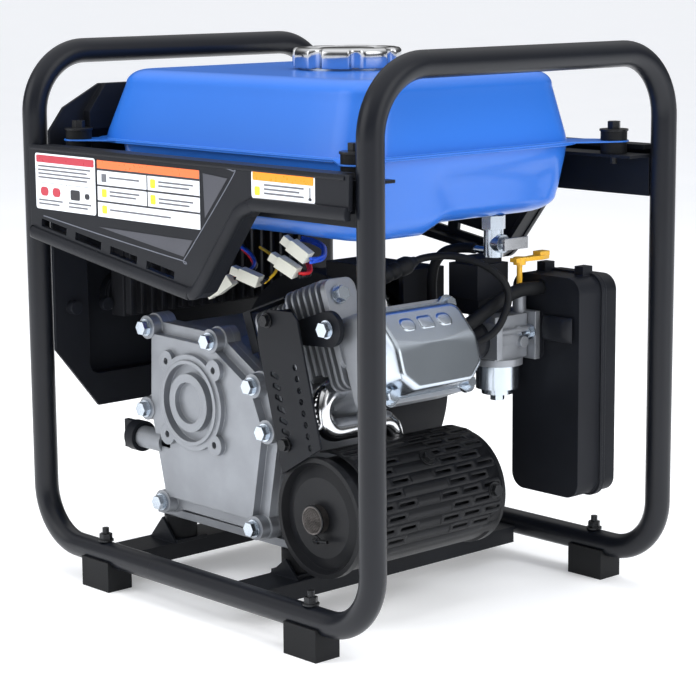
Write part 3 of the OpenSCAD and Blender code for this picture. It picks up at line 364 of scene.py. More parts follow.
# ---------- fuel tank ----------
_, tank_hi = box("tank_upper_shell")
low_lo, low_hi = box("tank_lower_shell")
seam = low_hi.z
top = tank_hi.z
bottom = low_lo.z
lower_w, upper_w, body_d = 326.0, 352.0, 266.0
flange_w, flange_d, flange_t, flange_x = 366.0, 280.0, 1.4, -12.5
neck_lo, neck_hi = box("filler_neck")
neck = Vector(((neck_lo.x + neck_hi.x) / 2, (neck_lo.y + neck_hi.y) / 2))
EAR_R, EAR_ROOT_R, EAR_ROOT = 13, 23, (140, 110)    # the mounting ears and where they join the flange
ear = Vector((tank_hi.x - EAR_R, tank_hi.y - EAR_R))
WALL = 1.5


def tank_ring(inset_x, inset_y, r, z, shift=0.0):
    """A ring of the upper half, which reaches further to the panel side."""
    return [Vector((x + shift, y, z))
            for x, y in rounded_rect(upper_w - 2 * inset_x, body_d - 2 * inset_y, r)]


def upper_profile(t):
    rings = [tank_ring(t, t, 34, seam + 0.1, -13)]
    shoulder, reach_x, reach_y = top - 13, 11.0, 14.0
    for i in range(1, 9):
        u = i / 8
        rings.append(tank_ring(reach_x * u + t, reach_y * u + t, 34 - 3 * u,
                               seam + 2 + (shoulder - seam - 2) * u, 4 * u - 13))
    for i in range(1, 11):
        a = math.radians(9 * i)
        rings.append(tank_ring(reach_x + 15 * (1 - math.cos(a)) + t, reach_y + 17 * (1 - math.cos(a)) + t,
                               31 - 9 * (1 - math.cos(a)), shoulder + (13 - t) * math.sin(a), i / 5 - 9))
    return rings


def top_to_neck(ring, z):
    """Rings from the flat top's edge in to the filler hole."""
    rings = []
    for share in (0.12, 0.35, 0.6, 0.85, 1.0):
        ring_points = []
        for p in ring:
            away = Vector((p.x, p.y)) - neck
            rim = neck + away.normalized() * 37.8
            flat = Vector((p.x, p.y)).lerp(rim, share)
            ring_points.append(Vector((flat.x, flat.y, z)))
        rings.append(ring_points)
    return rings


def ears(z0, z1):
    parts = []
    for sx in (-1, 1):
        for sy in (-1, 1):
            outline = hull([(sx * ear.x + x, sy * ear.y + y) for x, y in circle(EAR_R, 40)]
                           + [(sx * EAR_ROOT[0] + x, sy * EAR_ROOT[1] + y)
                              for x, y in circle(EAR_ROOT_R, 40)])
            parts.append(prism(outline, z0, z1, lambda a, b, h: Vector((a, b, h))))
    return parts


outer = upper_profile(0.0)
inner = upper_profile(WALL)
outer += top_to_neck(outer[-1], top)
inner += top_to_neck(inner[-1], top - WALL)
shell = loft(outer + inner[::-1], caps=False, closed=True)


def rim_plate(z0, z1):
    """The pressed seam flange, with rounded edges."""
    rings = []
    for z, inset in ((z0, 22), (z0, 0.4), (z0 + 0.3, 0), (z1 - 0.3, 0), (z1, 0.4), (z1, 22)):
        rings.append([Vector((x + flange_x, y, z))
                      for x, y in rounded_rect(flange_w - 2 * inset, flange_d - 2 * inset, 40 - inset)])
    return loft(rings, caps=False, closed=True)


upper = piece("tank_upper_skin",
              *join([shell, rim_plate(seam, seam + flange_t), *ears(seam + 0.05, seam + flange_t - 0.05)]),
              FINISHES["tank_blue"], replaces=["tank_upper_shell"], slot="tank_blue", crease=30)
fix_normals(upper)


def lower_ring(inset_x, inset_y, r, z):
    """A ring of the lower half: raised behind, and dished on its side."""
    ring = []
    for x, y in rounded_rect(lower_w - 2 * inset_x, body_d - 2 * inset_y, r, 10, 16):
        depth = step(z, seam - 34, bottom)
        lift = 8 * step(y, -42, -26) * depth
        high = max(z, bottom) + lift
        pull = 7 * step(x, 110, 150) * step(y, -70 + (seam - z) * 0.5,
                                            -30 + (seam - z) * 0.5) * (1 - step(y, 92, 118))
        pull *= step(z, seam - 6, seam - 30)
        ring.append(Vector((x - pull, y, high)))
    return ring


def lower_profile(t):
    rings = [lower_ring(t, t, 34, seam - 0.1)]
    knee = bottom + 20
    for i in range(1, 9):
        u = i / 8
        rings.append(lower_ring(7 * u + t, 8 * u + t, 34 - 3 * u, seam - 2 - (seam - 2 - knee) * u))
    for i in range(1, 11):
        a = math.radians(9 * i)
        rings.append(lower_ring(7 + 20 * (1 - math.cos(a)) + t, 8 + 21 * (1 - math.cos(a)) + t,
                                31 - 12 * (1 - math.cos(a)), knee - (20 - t) * math.sin(a)))
    for share in (0.25, 0.5, 0.75, 0.98):
        rings.append([Vector((p.x * (1 - share), p.y * (1 - share),
                              bottom + t + 8 * step(p.y * (1 - share), -42, -26)))
                      for p in rings[-1]])
    return rings


low_outer = lower_profile(0.0)
lower = piece("tank_lower_skin", *join([loft(low_outer), rim_plate(seam - flange_t, seam)]),
              FINISHES["tank_blue"], replaces=["tank_lower_shell"], slot="tank_blue", crease=30)
fix_normals(lower)

# ---------- fuel cap ----------
cap_lo, cap_hi = box("fuel_cap")
cap_c = Vector(((cap_lo.x + cap_hi.x) / 2, (cap_lo.y + cap_hi.y) / 2))
cap_r = (cap_hi.x - cap_lo.x) / 2
CAP_SIDES = 240


def cap_ring(r, z, bite=1.0):
    ring = []
    for k in range(CAP_SIDES):
        a = 2 * math.pi * k / CAP_SIDES
        phase = (math.degrees(a) - 12 + 22.5) % 45 - 22.5
        notch = max(0.0, 1 - (phase / 7.6) ** 2) ** 0.5 if abs(phase) < 7.6 else 0.0
        reach = r - 4.4 * notch * bite
        ring.append(Vector((cap_c.x + reach * math.cos(a), cap_c.y + reach * math.sin(a), z)))
    return ring


cap_profile = [(cap_r - 4.4, cap_lo.z, 0.0), (cap_r - 0.8, cap_lo.z, 1), (cap_r, cap_lo.z + 1, 1)]
cap_profile += [(cap_r, cap_hi.z - 4.2, 1)]
cap_profile += [(cap_r - 4 * (1 - math.cos(math.radians(a))), cap_hi.z - 4 + 4 * math.sin(math.radians(a)),
                 1 - a / 180)
                for a in (18, 36, 54, 72, 90)]
cap_profile += [(cap_r - 8, cap_hi.z, 0.4), (cap_r - 10, cap_hi.z - 0.5, 0), (cap_r - 11, cap_hi.z - 1.6, 0),
                (cap_r - 13, cap_hi.z - 2.2, 0), (26, cap_hi.z - 2.0, 0), (24.5, cap_hi.z - 1.4, 0),
                (23.5, cap_hi.z - 0.6, 0), (22, cap_hi.z - 0.3, 0), (0.5, cap_hi.z - 0.1, 0)]
cap_profile_under = [(0.5, cap_hi.z - 4.2, 0), (cap_r - 6, cap_hi.z - 4.2, 0), (cap_r - 5.2, cap_hi.z - 6, 0),
                     (cap_r - 5.2, cap_lo.z + 1, 0)]
rings = [cap_ring(*row) for row in cap_profile] + [cap_ring(*row) for row in cap_profile_under]
cap = piece("fuel_cap_shell", *loft(rings, caps=False, closed=True), FINISHES["chrome"], "fuel_cap", 40,
            ["fuel_cap"], "chrome")
fix_normals(cap)

# ---------- valve cover ----------
CRANK = Vector((-64.7, -52.0, 170.3))
TILT = math.radians(20)
COVER_U0, COVER_W = 219.0, -12.0


def engine(u, y, w):
    """A point of the tilted cylinder's own frame: along it, along Y, and across it."""
    return Vector((CRANK.x + u * math.cos(TILT) - w * math.sin(TILT), CRANK.y + y,
                   CRANK.z + u * math.sin(TILT) + w * math.cos(TILT)))


def cover_outline(inset=0.0):
    """Rounded above, with chamfered lower corners. (y, w) pairs."""
    half_y, half_w = 48 - inset, 35 - inset
    corners = [(half_y, half_w, 11), (-half_y, half_w, 11), (-half_y, -half_w + 13, 8),
               (-half_y + 15, -half_w, 8),
               (half_y - 15, -half_w, 8), (half_y, -half_w + 13, 8)]
    n = len(corners)
    ring = []
    for i, (x, y, r) in enumerate(corners):
        c = Vector((x, y))
        a = (Vector(corners[i - 1][:2]) - c).normalized()
        b = (Vector(corners[(i + 1) % n][:2]) - c).normalized()
        half = a.angle(b) / 2
        cut = min(r / math.tan(half), 9)
        for k in range(9):
            t = k / 8
            p, q, m = c + a * cut, c + b * cut, c
            ring.append(((1 - t) ** 2 * p + 2 * t * (1 - t) * m + t * t * q))
        nxt = Vector(corners[(i + 1) % n][:2])
        end = nxt + (c - nxt).normalized() * min(corners[(i + 1) % n][2] / math.tan(half), 9)
        ring += [ring[-1].lerp(end, k / 8) for k in range(1, 8)]
    return ring


FOLD_W = 2.0


def cover_face(w):
    """Height of the cover's front: a fold line with an upper facet that leans back."""
    up = 27.5 - 0.44 * (w - FOLD_W)
    down = 27.5 - 0.06 * (FOLD_W - w)
    blend = step(w, FOLD_W - 1.2, FOLD_W + 1.2)
    return up * blend + down * (1 - blend)


outline = cover_outline()
cover_rings = []
for drop, inset in ((0, 0), (0.5, 0.1), (1.0, 0.35)):
    cover_rings.append([engine(COVER_U0 + 4 + drop * 0.2, p.x * 1.02, COVER_W + p.y * 1.02) for p in outline])
for depth, scale in ((6.5, 0.985), (5.6, 0.983), (4, 0.978), (2.4, 0.968), (1.1, 0.95), (0.35, 0.925),
                     (0, 0.9)):
    cover_rings.append([engine(COVER_U0 + cover_face(p.y * scale) - depth, p.x * scale,
                               COVER_W + p.y * scale) for p in outline])
for k in range(1, 27):
    scale = 0.9 * (1 - k / 26.5)
    cover_rings.append([engine(COVER_U0 + cover_face(p.y * scale), p.x * scale, COVER_W + p.y * scale)
                        for p in outline])
cover_parts = [loft(cover_rings)]
# Flange with four bolt lobes
flange = hull([(p.x * 1.06, p.y * 1.06) for p in outline])
cover_parts.append(prism(flange, COVER_U0, COVER_U0 + 3.4, lambda a, b, h: engine(h, a, COVER_W + b)))
for y in (-45, 45):
    for w in (-34, 34):
        lobe = hull([(y + a, w + b) for a, b in circle(8.2, 32)]
                    + [(y * 0.78 + a, w * 0.72 + b) for a, b in circle(10, 32)])
        cover_parts.append(prism(lobe, COVER_U0, COVER_U0 + 4, lambda a, b, h: engine(h, a, COVER_W + b)))


def raised_bar(y, w, wide, tall, r, height=1.3):
    """A soft raised pad on the upper facet."""
    rings = []
    for grow, rise in ((1.1, -0.4), (0.6, 0.15), (0.2, height * 0.55), (-0.5, height * 0.93), (-1.2, height)):
        rings.append([engine(COVER_U0 + cover_face(w + b) + rise, y + a, COVER_W + w + b)
                      for a, b in rounded_rect(wide + 2 * grow, tall + 2 * grow, r + grow, 6, 3)])
    return loft(rings)


cover_parts += [raised_bar(-21, 20, 15, 10, 5), raised_bar(0, 20, 15, 10, 2.5), raised_bar(21, 20, 15, 10, 5)]
cover = piece("valve_cover_pressing", *join(cover_parts), FINISHES["zinc"], crease=38,
              replaces=["valve_cover"], slot="zinc")
fix_normals(cover)


# ---------- side panels ----------
panel_lo, _ = box("side_panel_front")
PANEL_EDGE = [(-203, 316), (-194, 313.6), (-90, 298), (8, 284), (19, 283.2), (29, 287.5), (52, 316),
              (78, 349),
              (86, 356.5), (97, 361), (110, 362.8), (211, 363.4)]
DECAL_LINE = [(66, 389.5), (76.5, 387.6), (77.5, 384.5), (44, 346), (12, 310.5), (8, 309.6), (-100, 321),
              (-187, 331)]
FACETS = [[(-104.7, 327.9), (24.1, 327.3), (11.9, 312.9)], [(38.9, 383.4), (70.0, 381.1), (40.6, 346.9)]]


def panel_details(side):
    """Beads, outline and facets on one side panel. SIDE is -1 in front, 1 behind."""
    face = side * abs(panel_lo.y)
    tag = "front" if side < 0 else "rear"

    def place(a, b, h):
        return Vector((a, face + side * h, b))

    def bead(route, wide, high, name, material, sink=0.6):
        pts = smooth_route([(a, 0, b) for a, b in route], 5)
        rings = []
        for i, p in enumerate(pts):
            t = (pts[min(i + 1, len(pts) - 1)] - pts[max(i - 1, 0)]).normalized()
            across = Vector((-t.z, 0, t.x))
            rings.append([place(*(lambda q: (q.x, q.z))(p + across * (wide / 2 * math.cos(a))),
                                high * max(0.0, math.sin(a)) ** 0.7 - (sink if math.sin(a) < -0.01 else 0))
                          for a in (2 * math.pi * k / 20 for k in range(20))])
        made = piece(f"{name}_{tag}", *loft(rings), material, crease=50, slot="black_plastic")
        fix_normals(made)

    bead(PANEL_EDGE, 11, 3.6, "panel_bezel", FINISHES["black_plastic"], 3.2)
    bead([(-204, 390.6), (-100, 390.6), (100, 390.4), (208, 390.2)], 3.4, 1.1, "panel_top_bead",
         FINISHES["black_plastic"])
    bead(DECAL_LINE, 0.9, 0.35, "panel_outline", EXTRA["outline_grey"], 0.2)
    parts = [prism(f, -0.1, 0.35, place) for f in FACETS]
    fix_normals(piece(f"panel_facets_{tag}", *join(parts), EXTRA["facet_grey"], slot="black_plastic",
                      smooth=False))


panel_details(-1)
panel_details(1)


def label(name, x0, x1, z0, z1, cells, r=2.5):
    """A blank vinyl label: a white plate with plain coloured fields and bars, and no text."""
    face = panel_lo.y

    def plate(a0, a1, b0, b1, h0, h1, rr):
        ring = [((a0 + a1) / 2 + a, (b0 + b1) / 2 + b) for a, b in rounded_rect(a1 - a0, b1 - b0, rr, 5, 1)]
        return prism(ring, h0, h1, lambda a, b, h: Vector((a, face - h, b)))

    fix_normals(piece(f"{name}_base", *plate(x0, x1, z0, z1, 0.02, 0.3, r), EXTRA["label_white"],
                      slot="black_plastic", smooth=False))
    grouped = {}
    for key, a0, a1, b0, b1, rr in cells:
        grouped.setdefault(key, []).append(plate(a0, a1, b0, b1, 0.25, 0.42, rr))
    for key, parts in grouped.items():
        fix_normals(piece(f"{name}_{key}", *join(parts), EXTRA[f"label_{key}"], slot="black_plastic",
                          smooth=False))


def text_bars(x0, x1, z, rows, pitch=3.3, thick=1.5):
    """Plain grey bars that stand for lines of print."""
    return [("grey", x0, x1 - (4 + 5 * (k % 2)), z - k * pitch - thick, z - k * pitch, 0.2)
            for k in range(rows)]


label("label_left", -197.2, -108.2, 337.2, 386.4,
      [("red", -195.4, -109.8, 378.4, 384.9, 1.2), ("grey", -194, -110.5, 360.4, 360.8, 0.1),
       ("grey", -151.2, -150.8, 340, 360.4, 0.1), ("red", -190, -178, 349, 357, 3.8),
       ("red", -172, -160, 349, 357, 3.8),
       ("black", -145, -131, 348, 357, 2), ("black", -124, -117, 350, 355, 2.3)]
      + text_bars(-193, -111, 376, 4) + text_bars(-193, -153, 346, 2) + text_bars(-148, -111, 346, 2))
label("label_middle", -105, 34.3, 337, 385.3,
      [("orange", -105, 34.3, 378.4, 385.4, 0.3), ("black", -105, 34.3, 376.6, 378.4, 0.1),
       ("black", -105, 34.3, 363, 364.6, 0.1),
       ("black", -105, 34.3, 349.4, 351, 0.1), ("black", -36, -34.6, 350, 377, 0.1),
       ("yellow", -99, -92, 354, 361, 1.5), ("yellow", -31, -24, 366.5, 374, 1.5),
       ("yellow", -31, -24, 353, 361, 1.5),
       ("yellow", -99, -92, 340, 347, 1.5), ("grey", -99, -92, 367, 374, 0.4)]
      + text_bars(-88, -42, 372, 1) + text_bars(-88, -42, 360, 2) + text_bars(-20, 30, 373, 2)
      + text_bars(-20, 30, 359, 2)
      + text_bars(-88, 0, 344.5, 1), r=0.4)
label("label_right", 99.8, 174.8, 367, 391.2,
      [("bright", 101.3, 173.4, 382.2, 389.9, 1.4), ("yellow", 103.5, 110, 370.5, 377.5, 1.5),
       ("black", 168.6, 169.8, 372, 380.5, 0.2), ("black", 167.4, 171, 370.4, 372.6, 0.8)]
      + text_bars(115, 166, 380, 3), r=4)

# ---------- muffler ----------
muffler_lo, muffler_hi = box("muffler_body")
muffler_x = (muffler_lo.x + muffler_hi.x) / 2
muffler_z = (muffler_lo.z + muffler_hi.z) / 2
SHIELD_R = 53.9
shield_lo, shield_hi = box("heat_shield")


def slotted_sheet(angle0, angle1, y0, y1, rows, cols, slot_y, slot_a, skip):
    """A rolled sheet, drawn flat as cells with an oblong hole in each, every other row shifted."""
    points, faces = [], []
    arc = math.radians(angle1 - angle0) * SHIELD_R / rows
    pitch = (y1 - y0) / cols

    def rolled(y, s):
        a = math.radians(angle0) + s / SHIELD_R
        return (y, a)

    sheet = []
    for row in range(rows):
        for col in range(-1, cols + 1):
            cy = y0 + pitch * (col + 0.5 + 0.5 * (row % 2))
            lo, hi = max(y0, cy - pitch / 2), min(y1, cy + pitch / 2)
            if hi - lo < 0.5:
                continue
            s0, s1 = row * arc, (row + 1) * arc
            cs = (s0 + s1) / 2
            whole = hi - lo > pitch - 0.5 and not skip(cy, math.degrees(cs / SHIELD_R) + angle0)
            if whole:
                half, end, straight = arc / 2, pitch / 2, (slot_y - slot_a) / 2
                turns = (-90, -45, -20, 0, 20, 45, 90)
                edge = ((straight, -half), (end, -half), (end, -half / 2), (end, 0), (end, half / 2),
                        (end, half),
                        (straight, half))
                inner_ring, outer_ring = [], []
                for way in (1, -1):
                    for turn_deg, (a, b) in zip(turns, edge):
                        t = math.radians(turn_deg)
                        inner_ring.append((cy + way * (straight + slot_a / 2 * math.cos(t)),
                                           cs + way * slot_a / 2 * math.sin(t)))
                        outer_ring.append((cy + way * a, cs + way * b))
                sheet.append((outer_ring, inner_ring))
            else:
                sheet.append(([(lo, s0), (hi, s0), (hi, s1), (lo, s1)], None))
    for outer_ring, inner_ring in sheet:
        base = len(points)
        points += [rolled(*p) for p in outer_ring]
        if inner_ring:
            n = len(outer_ring)
            points += [rolled(*p) for p in inner_ring]
            faces += [(base + k, base + (k + 1) % n, base + n + (k + 1) % n, base + n + k) for k in range(n)]
        else:
            faces.append((base, base + 1, base + 2, base + 3))
    return points, faces


def plain_band(y, angle):
    """The sheet is left whole round its middle, round the exhaust pipe, and along its edges."""
    return -66 < y < -32 or (angle > 88 and y < 0) or angle < -24


flat_points, flat_faces = slotted_sheet(-34, 104, shield_lo.y, shield_hi.y, 13, 6, 17.5, 2.6, plain_band)
rolled_points = [Vector((muffler_x + SHIELD_R * math.cos(a), y, muffler_z + SHIELD_R * math.sin(a)))
                 for y, a in flat_points]
shield = piece("muffler_shield", rolled_points, flat_faces, EXTRA["shield_black"], crease=25,
               replaces=["heat_shield"], slot="exhaust_steel")
fix_normals(shield)
thick = shield.modifiers.new("sheet", "SOLIDIFY")
thick.thickness = 1.1 * MM
thick.offset = 0

# Woven spark arrestor with its clamp
arrestor_lo, arrestor_hi = box("spark_arrestor")
ax, az = (arrestor_lo.x + arrestor_hi.x) / 2, (arrestor_lo.z + arrestor_hi.z) / 2
MESH_R, MESH_PITCH, WIRE_R = 10.6, 1.25, 0.3
front_y = arrestor_lo.y
wires = []
for k in range(-8, 9):
    off = k * MESH_PITCH
    if abs(off) >= MESH_R - 0.5:
        continue
    half = math.sqrt(MESH_R ** 2 - off ** 2)
    count = max(4, int(half / 0.8))
    for across in (0, 1):
        route = []
        for i in range(-count, count + 1):
            along = half * i / count
            wave = WIRE_R * math.cos(math.pi * along / MESH_PITCH + math.pi * (k + across))
            dome = 1.6 * (1 - (along ** 2 + off ** 2) / MESH_R ** 2)
            a, b = (along, off) if across else (off, along)
            route.append(Vector((ax + a, front_y - 0.4 - dome + wave, az + b)))
        wires.append(tube(route, WIRE_R, 5))
fix_normals(piece("arrestor_mesh", *join(wires), FINISHES["mesh_steel"], crease=60, slot="mesh_steel"))


def ring_tube(centre, radius, thick_r, n=72, start=0.0, end=360.0):
    route = [Vector((centre.x + radius * math.cos(math.radians(a)), centre.y,
                     centre.z + radius * math.sin(math.radians(a))))
             for a in (start + (end - start) * k / n for k in range(n + 1))]
    return tube(route, thick_r, 10)


clamp_parts = [ring_tube(Vector((ax, front_y + 1.0, az)), 12.2, 0.9, start=-60, end=286),
               tube([Vector((ax + 5, front_y + 0.6, az - 12.4)),
                     Vector((ax + 12, front_y - 0.6, az - 15.5))], 1.0, 8),
               tube([Vector((ax + 1, front_y, az - 16.5)), Vector((ax + 20, front_y - 1, az - 14.5))], 1.5,
                    12),
               tube([Vector((ax + 4, front_y, az - 16.3)), Vector((ax + 8, front_y - 0.3, az - 15.8))], 3.0,
                    6)]
fix_normals(piece("arrestor_clamp", *join(clamp_parts), FINISHES["black_bolt"], crease=50, slot="black_bolt"))


def hex_bolt(place, out, across, r, high):
    """A hexagon head on a washer, pointing along OUT; ACROSS is any direction square to it."""
    side = out.cross(across)
    parts = []
    for sides, radius, low, top_h in ((32, r * 1.35, 0, 1.2), (6, r, 1.2, high)):
        ring = circle(radius, sides)
        parts.append(prism(ring, low, top_h, lambda a, b, h: place + across * a + side * b + out * h))
    return join(parts)


shield_bolts = []
for y, angle in ((-34, 50), (28, 8)):
    out = Vector((math.cos(math.radians(angle)), 0, math.sin(math.radians(angle))))
    centre = Vector((muffler_x, y, muffler_z)) + out * (SHIELD_R + 0.3)
    shield_bolts.append(hex_bolt(centre, out, Vector((0, 1, 0)), 5.2, 5.5))
fix_normals(piece("shield_bolts", *join(shield_bolts), FINISHES["black_bolt"], crease=30, slot="black_bolt"))


# ---------- air box and carburetor details ----------
air_lo, _ = box("air_box_base")
BULGE_Z, BULGE_HALF = 236.0, 11.0
bulge_rings = []
for x, depth in ((148, 0.4), (149.5, 4.0), (152, 6.2), (160, 6.8), (172, 6.0), (178, 4.2), (181, 0.4)):
    bulge_rings.append([Vector((x, air_lo.y + 0.4 - depth * math.cos(a), BULGE_Z + BULGE_HALF * math.sin(a)))
                        for a in (math.radians(-90 + 180 * k / 16) for k in range(17))])
fix_normals(piece("air_box_bulge", *loft(bulge_rings), FINISHES["black_plastic"], crease=50,
                  slot="black_plastic"))
carb_lo, carb_hi = box("carburetor_body")
FLANGE_Y = 93.0
near = Vector((0, -1, 0))
studs = []
for x, z in ((carb_hi.x - 6, 232), (carb_lo.x + 6, 224)):
    foot = Vector((x, FLANGE_Y, z))
    studs += [hex_bolt(foot, near, Vector((1, 0, 0)), 5.0, 5.0),
              tube([foot, foot + near * 8, foot + near * 13], 2.2, 14)]
fix_normals(piece("carburetor_nuts", *join(studs), FINISHES["zinc"], crease=30, slot="zinc"))


# ---------- hoses, leads and wires ----------
FUEL_ROUTE = [(105.8, 58, 305), (98, 58, 305), (88, 54, 304), (78, 48, 300), (72, 43, 290), (70, 41, 276),
              (70, 41, 262), (70, 43, 246), (71, 51, 231), (73, 60, 220), (76, 68, 212.5), (81, 71.6, 209),
              (86, 72, 208), (89.8, 72, 208)]
LEAD_ROUTE = [(91.6, -0.6, 298.4), (94, 7, 300.5), (101, 16, 302), (110, 25, 302), (120, 33, 300),
              (130, 40, 296), (139, 46, 290), (146, 51, 282), (149, 54, 273), (149.5, 54, 264),
              (149, 51, 255),
              (149, 46, 247), (149, 40, 241), (147, 33, 236), (142, 26, 232), (135, 19, 229),
              (129.5, 11, 227),
              (127.5, 5, 226.5), (127.5, 0.2, 226.5)]
BREATHER_ROUTE = [(125, 0.2, 238), (125, 8, 238), (127, 18, 241), (129, 30, 246), (131, 44, 253),
                  (133, 58, 261), (136, 72, 267), (139, 84, 270), (141, 94, 270), (141, 104, 270)]


def hose(name, route, radius, node, sides=20, slot="rubber"):
    made = piece(name, *tube(smooth_route(route, 5), radius, sides), FINISHES["rubber"], crease=60,
                 replaces=[node] if node else (), slot=slot)
    return fix_normals(made)


hose("fuel_line", FUEL_ROUTE, 4.5, "fuel_hose")
hose("breather_tube", BREATHER_ROUTE, 6.0, "breather_hose")
lead = piece("plug_lead", *join([tube(smooth_route(LEAD_ROUTE, 6), 3.2, 18),
                                 tube([Vector((127.5, 0.2, 226.5)), Vector((127.5, 3, 226.5)),
                                       Vector((127.5, 9.6, 226.5))],
                                      lambda t: 5 - 1.6 * t, 20)]),
             FINISHES["rubber"], crease=50, replaces=["ignition_lead"], slot="rubber")
fix_normals(lead)

# Ribbed plug boot: a cap over the plug, and a long ribbed neck down to the lead
PLUG_U = 186.0
boot_top = engine(PLUG_U, 0, 50) + Vector((-2, 0, 5))
boot_end = Vector(LEAD_ROUTE[0])
neck_route = [boot_top.lerp(boot_end, k / 40) for k in range(41)]


def boot_radius(t):
    rib = 0.8 * max(0.0, math.sin(t * math.pi * 11)) if 0.12 < t < 0.62 else 0.0
    body = 8.4 - 1.0 * step(t, 0.0, 0.2) + 0.6 * step(t, 0.6, 0.7) - 3.8 * step(t, 0.78, 1.0)
    return body - rib * 0.9


plug_cap = [engine(PLUG_U, 0, 39).lerp(engine(PLUG_U, 0, 60), k / 12) for k in range(13)]
boot = piece("plug_cap", *join([tube(neck_route, boot_radius, 28),
                                tube(plug_cap, lambda t: 10 - 1.2 * t - 5 * step(t, 0.85, 1.02), 28)]),
             FINISHES["rubber"], crease=50, replaces=["plug_boot"], slot="rubber")
fix_normals(boot)

# Wires behind the connectors, each a bundle of separate insulated wires
WIRE_BUNDLES = [
    ([(67.8, -110.4, 295.3), (67, -99, 296), (50, -86, 303), (30, -76, 304), (10, -60, 305), (-20, -40, 306)],
     ("wire", "wire", "black_wire")),
    ([(82.3, -110.7, 308.8), (78, -96, 309), (64, -80, 310), (40, -60, 312), (10, -44, 312), (-20, -30, 310)],
     ("blue_wire", "blue_wire", "blue_wire")),
    ([(-16.7, -110.7, 285.2), (-14, -98, 289), (-24, -82, 292), (-50, -64, 296), (-80, -50, 300)],
     ("blue_wire", "wire", "black_wire")),
    ([(19.6, -110, 283.7), (18, -96, 290), (4, -80, 297), (-20, -66, 299), (-50, -52, 302)],
     ("yellow_wire", "black_wire"))]
by_colour = {}
for route, colours in WIRE_BUNDLES:
    for k, colour in enumerate(colours):
        turn = 2 * math.pi * k / len(colours)
        pts = smooth_route(route, 6)
        shifted = [p + Vector((0, math.cos(turn + i * 0.12), math.sin(turn + i * 0.12))) * 1.7
                   for i, p in enumerate(pts)]
        by_colour.setdefault(colour, []).append(tube(shifted, 1.35, 10))
for colour, parts in by_colour.items():
    material = FINISHES.get(colour) or EXTRA[colour]
    made = piece(f"wires_{colour}", *join(parts), material, crease=60, slot="wire",
                 replaces=["wiring"] if colour == "wire" else ())
    fix_normals(made)

# ---------- starter rope ----------
handle_lo, handle_hi = box("recoil_handle")
_, cover_hi = box("recoil_cover")
rope_x = (handle_lo.x + handle_hi.x) / 2
rope_z = (handle_lo.z + handle_hi.z) / 2
ROPE_GUIDE = cover_hi.y
rope_points = [Vector((rope_x, ROPE_GUIDE - 6 + 14 * k / 40, rope_z)) for k in range(41)]
rope = piece("starter_rope", *tube(rope_points, 2.35, 14), FINISHES["foam"], body=None, slot="black_plastic")
fix_normals(rope)
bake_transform(rope)

# ---------- room, light and camera ----------
FLOOR_GLOW = 0.22       # keeps the floor pale far from the lights
floor_material = Shader("studio_floor")
floor_material.link(floor_material.mix(floor_material.remap(floor_material.noise(3), 0, 1),
                                       (0.86, 0.87, 0.88), (0.9, 0.905, 0.91)),
                    floor_material.bsdf.inputs["Base Color"])
floor_material.bsdf.inputs["Roughness"].default_value = 0.75
floor_material.bsdf.inputs["Emission Color"].default_value = (1, 1, 1, 1)
floor_material.bsdf.inputs["Emission Strength"].default_value = FLOOR_GLOW
FLOOR = 60.0
floor_mesh = bpy.data.meshes.new("floor")
floor_mesh.from_pydata([(-FLOOR, -FLOOR, 0), (FLOOR, -FLOOR, 0), (FLOOR, FLOOR, 0), (-FLOOR, FLOOR, 0)], [],
                       [(0, 1, 2, 3)])
floor_mesh.materials.append(floor_material.material)
floor = bpy.data.objects.new("floor", floor_mesh)
bpy.context.scene.collection.objects.link(floor)

world = bpy.data.worlds.new("studio")
world.use_nodes = True
sky = world.node_tree
ambient = sky.nodes["Background"]
ambient.inputs["Color"].default_value = (0.93, 0.95, 1.0, 1)
ambient.inputs["Strength"].default_value = 0.8
# What shiny surfaces mirror: a dark room with a soft bright ceiling.
mirrored = sky.nodes.new("ShaderNodeBackground")
height = sky.nodes.new("ShaderNodeSeparateXYZ")
either = sky.nodes.new("ShaderNodeMixShader")
seen = sky.nodes.new("ShaderNodeMixShader")
backdrop = sky.nodes.new("ShaderNodeBackground")
backdrop.inputs["Color"].default_value = (1, 1, 1, 1)
backdrop.inputs["Strength"].default_value = 0.97
path = sky.nodes.new("ShaderNodeLightPath")
direction = sky.nodes.new("ShaderNodeTexCoord").outputs["Generated"]


def sky_ramp(value, from_low, from_high, low, high):
    made = sky.nodes.new("ShaderNodeMapRange")
    made.interpolation_type = "SMOOTHSTEP"
    for socket, number in zip(("From Min", "From Max", "To Min", "To Max"), (from_low, from_high, low, high)):
        made.inputs[socket].default_value = number
    sky.links.new(value, made.inputs["Value"])
    return made.outputs["Result"]


def sky_panel(way, from_low, from_high, high):
    """A soft light panel in the mirrored room, in the direction WAY."""
    dot = sky.nodes.new("ShaderNodeVectorMath")
    dot.operation = "DOT_PRODUCT"
    sky.links.new(direction, dot.inputs[0])
    dot.inputs[1].default_value = Vector(way).normalized()
    return sky_ramp(dot.outputs["Value"], from_low, from_high, 0.0, high)


def total(a, b):
    made = sky.nodes.new("ShaderNodeMath")
    made.operation = "ADD"
    sky.links.new(a, made.inputs[0])
    sky.links.new(b, made.inputs[1])
    return made.outputs["Value"]


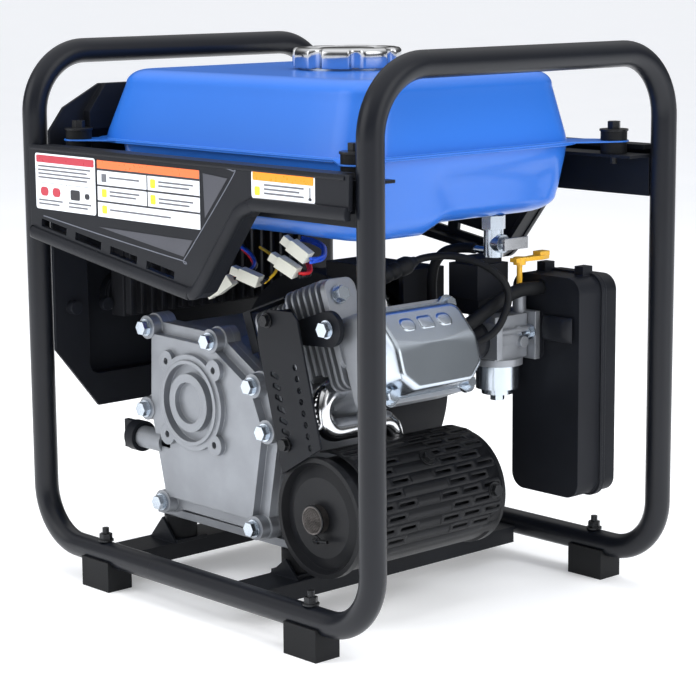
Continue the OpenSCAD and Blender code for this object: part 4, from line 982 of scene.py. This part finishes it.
sky.links.new(direction, height.inputs["Vector"])
ceiling = sky_ramp(height.outputs["Z"], 0.1, 0.95, 0.08, 1.3)
panels = total(sky_panel((-0.45, -1, 0.35), 0.86, 0.97, 2.0), sky_panel((1, 0.25, 0.3), 0.9, 0.98, 2.2))
sky.links.new(total(ceiling, panels), mirrored.inputs["Strength"])
sky.links.new(path.outputs["Is Glossy Ray"], either.inputs["Fac"])
sky.links.new(ambient.outputs["Background"], either.inputs[1])
sky.links.new(mirrored.outputs["Background"], either.inputs[2])
sky.links.new(path.outputs["Is Camera Ray"], seen.inputs["Fac"])
sky.links.new(either.outputs["Shader"], seen.inputs[1])
sky.links.new(backdrop.outputs["Background"], seen.inputs[2])
sky.links.new(seen.outputs["Shader"], sky.nodes["World Output"].inputs["Surface"])
bpy.context.scene.world = world
bpy.context.scene.view_settings.view_transform = "Standard"


def area_light(name, place, target, size, power, colour=(1, 1, 1)):
    light = bpy.data.lights.new(name, "AREA")
    light.shape = "RECTANGLE"
    light.size, light.size_y = size
    light.energy = power
    light.color = colour
    made = bpy.data.objects.new(name, light)
    made.location = place
    made.rotation_euler = (Vector(target) - Vector(place)).to_track_quat("-Z", "Y").to_euler()
    made.visible_glossy = False
    bpy.context.scene.collection.objects.link(made)


MIDDLE = (0, 0, 0.25)
area_light("key_left", (-0.9, -1.8, 1.3), MIDDLE, (1.1, 1.6), 34)
area_light("key_right", (1.9, 0.5, 1.1), MIDDLE, (0.9, 1.4), 26)
area_light("top", (0.1, 0.0, 1.9), MIDDLE, (1.6, 1.6), 22)
area_light("low_front", (1.3, -1.6, 0.35), MIDDLE, (1.0, 0.5), 7)

AZIMUTH, ELEVATION, ROLL = (math.radians(a) for a in (47.482, 10.031, -0.468))
CAMERA_PLACE = Vector((1.41775, -1.29499, 0.55118))
FOCAL_PX, IMAGE_PX, SENSOR = 2188.4, 696, 36.0
back = Vector((math.sin(AZIMUTH) * math.cos(ELEVATION), -math.cos(AZIMUTH) * math.cos(ELEVATION),
               math.sin(ELEVATION)))
right = Vector((math.cos(AZIMUTH), math.sin(AZIMUTH), 0))
up = back.cross(right)
right, up = (math.cos(ROLL) * right + math.sin(ROLL) * up, -math.sin(ROLL) * right + math.cos(ROLL) * up)
lens = bpy.data.cameras.new("camera")
lens.sensor_width = SENSOR
lens.lens = FOCAL_PX / IMAGE_PX * SENSOR
camera = bpy.data.objects.new("camera", lens)
turn = Matrix((right, up, back)).transposed().to_4x4()
camera.matrix_world = Matrix.Translation(CAMERA_PLACE) @ turn
bpy.context.scene.collection.objects.link(camera)
bpy.context.scene.camera = camera
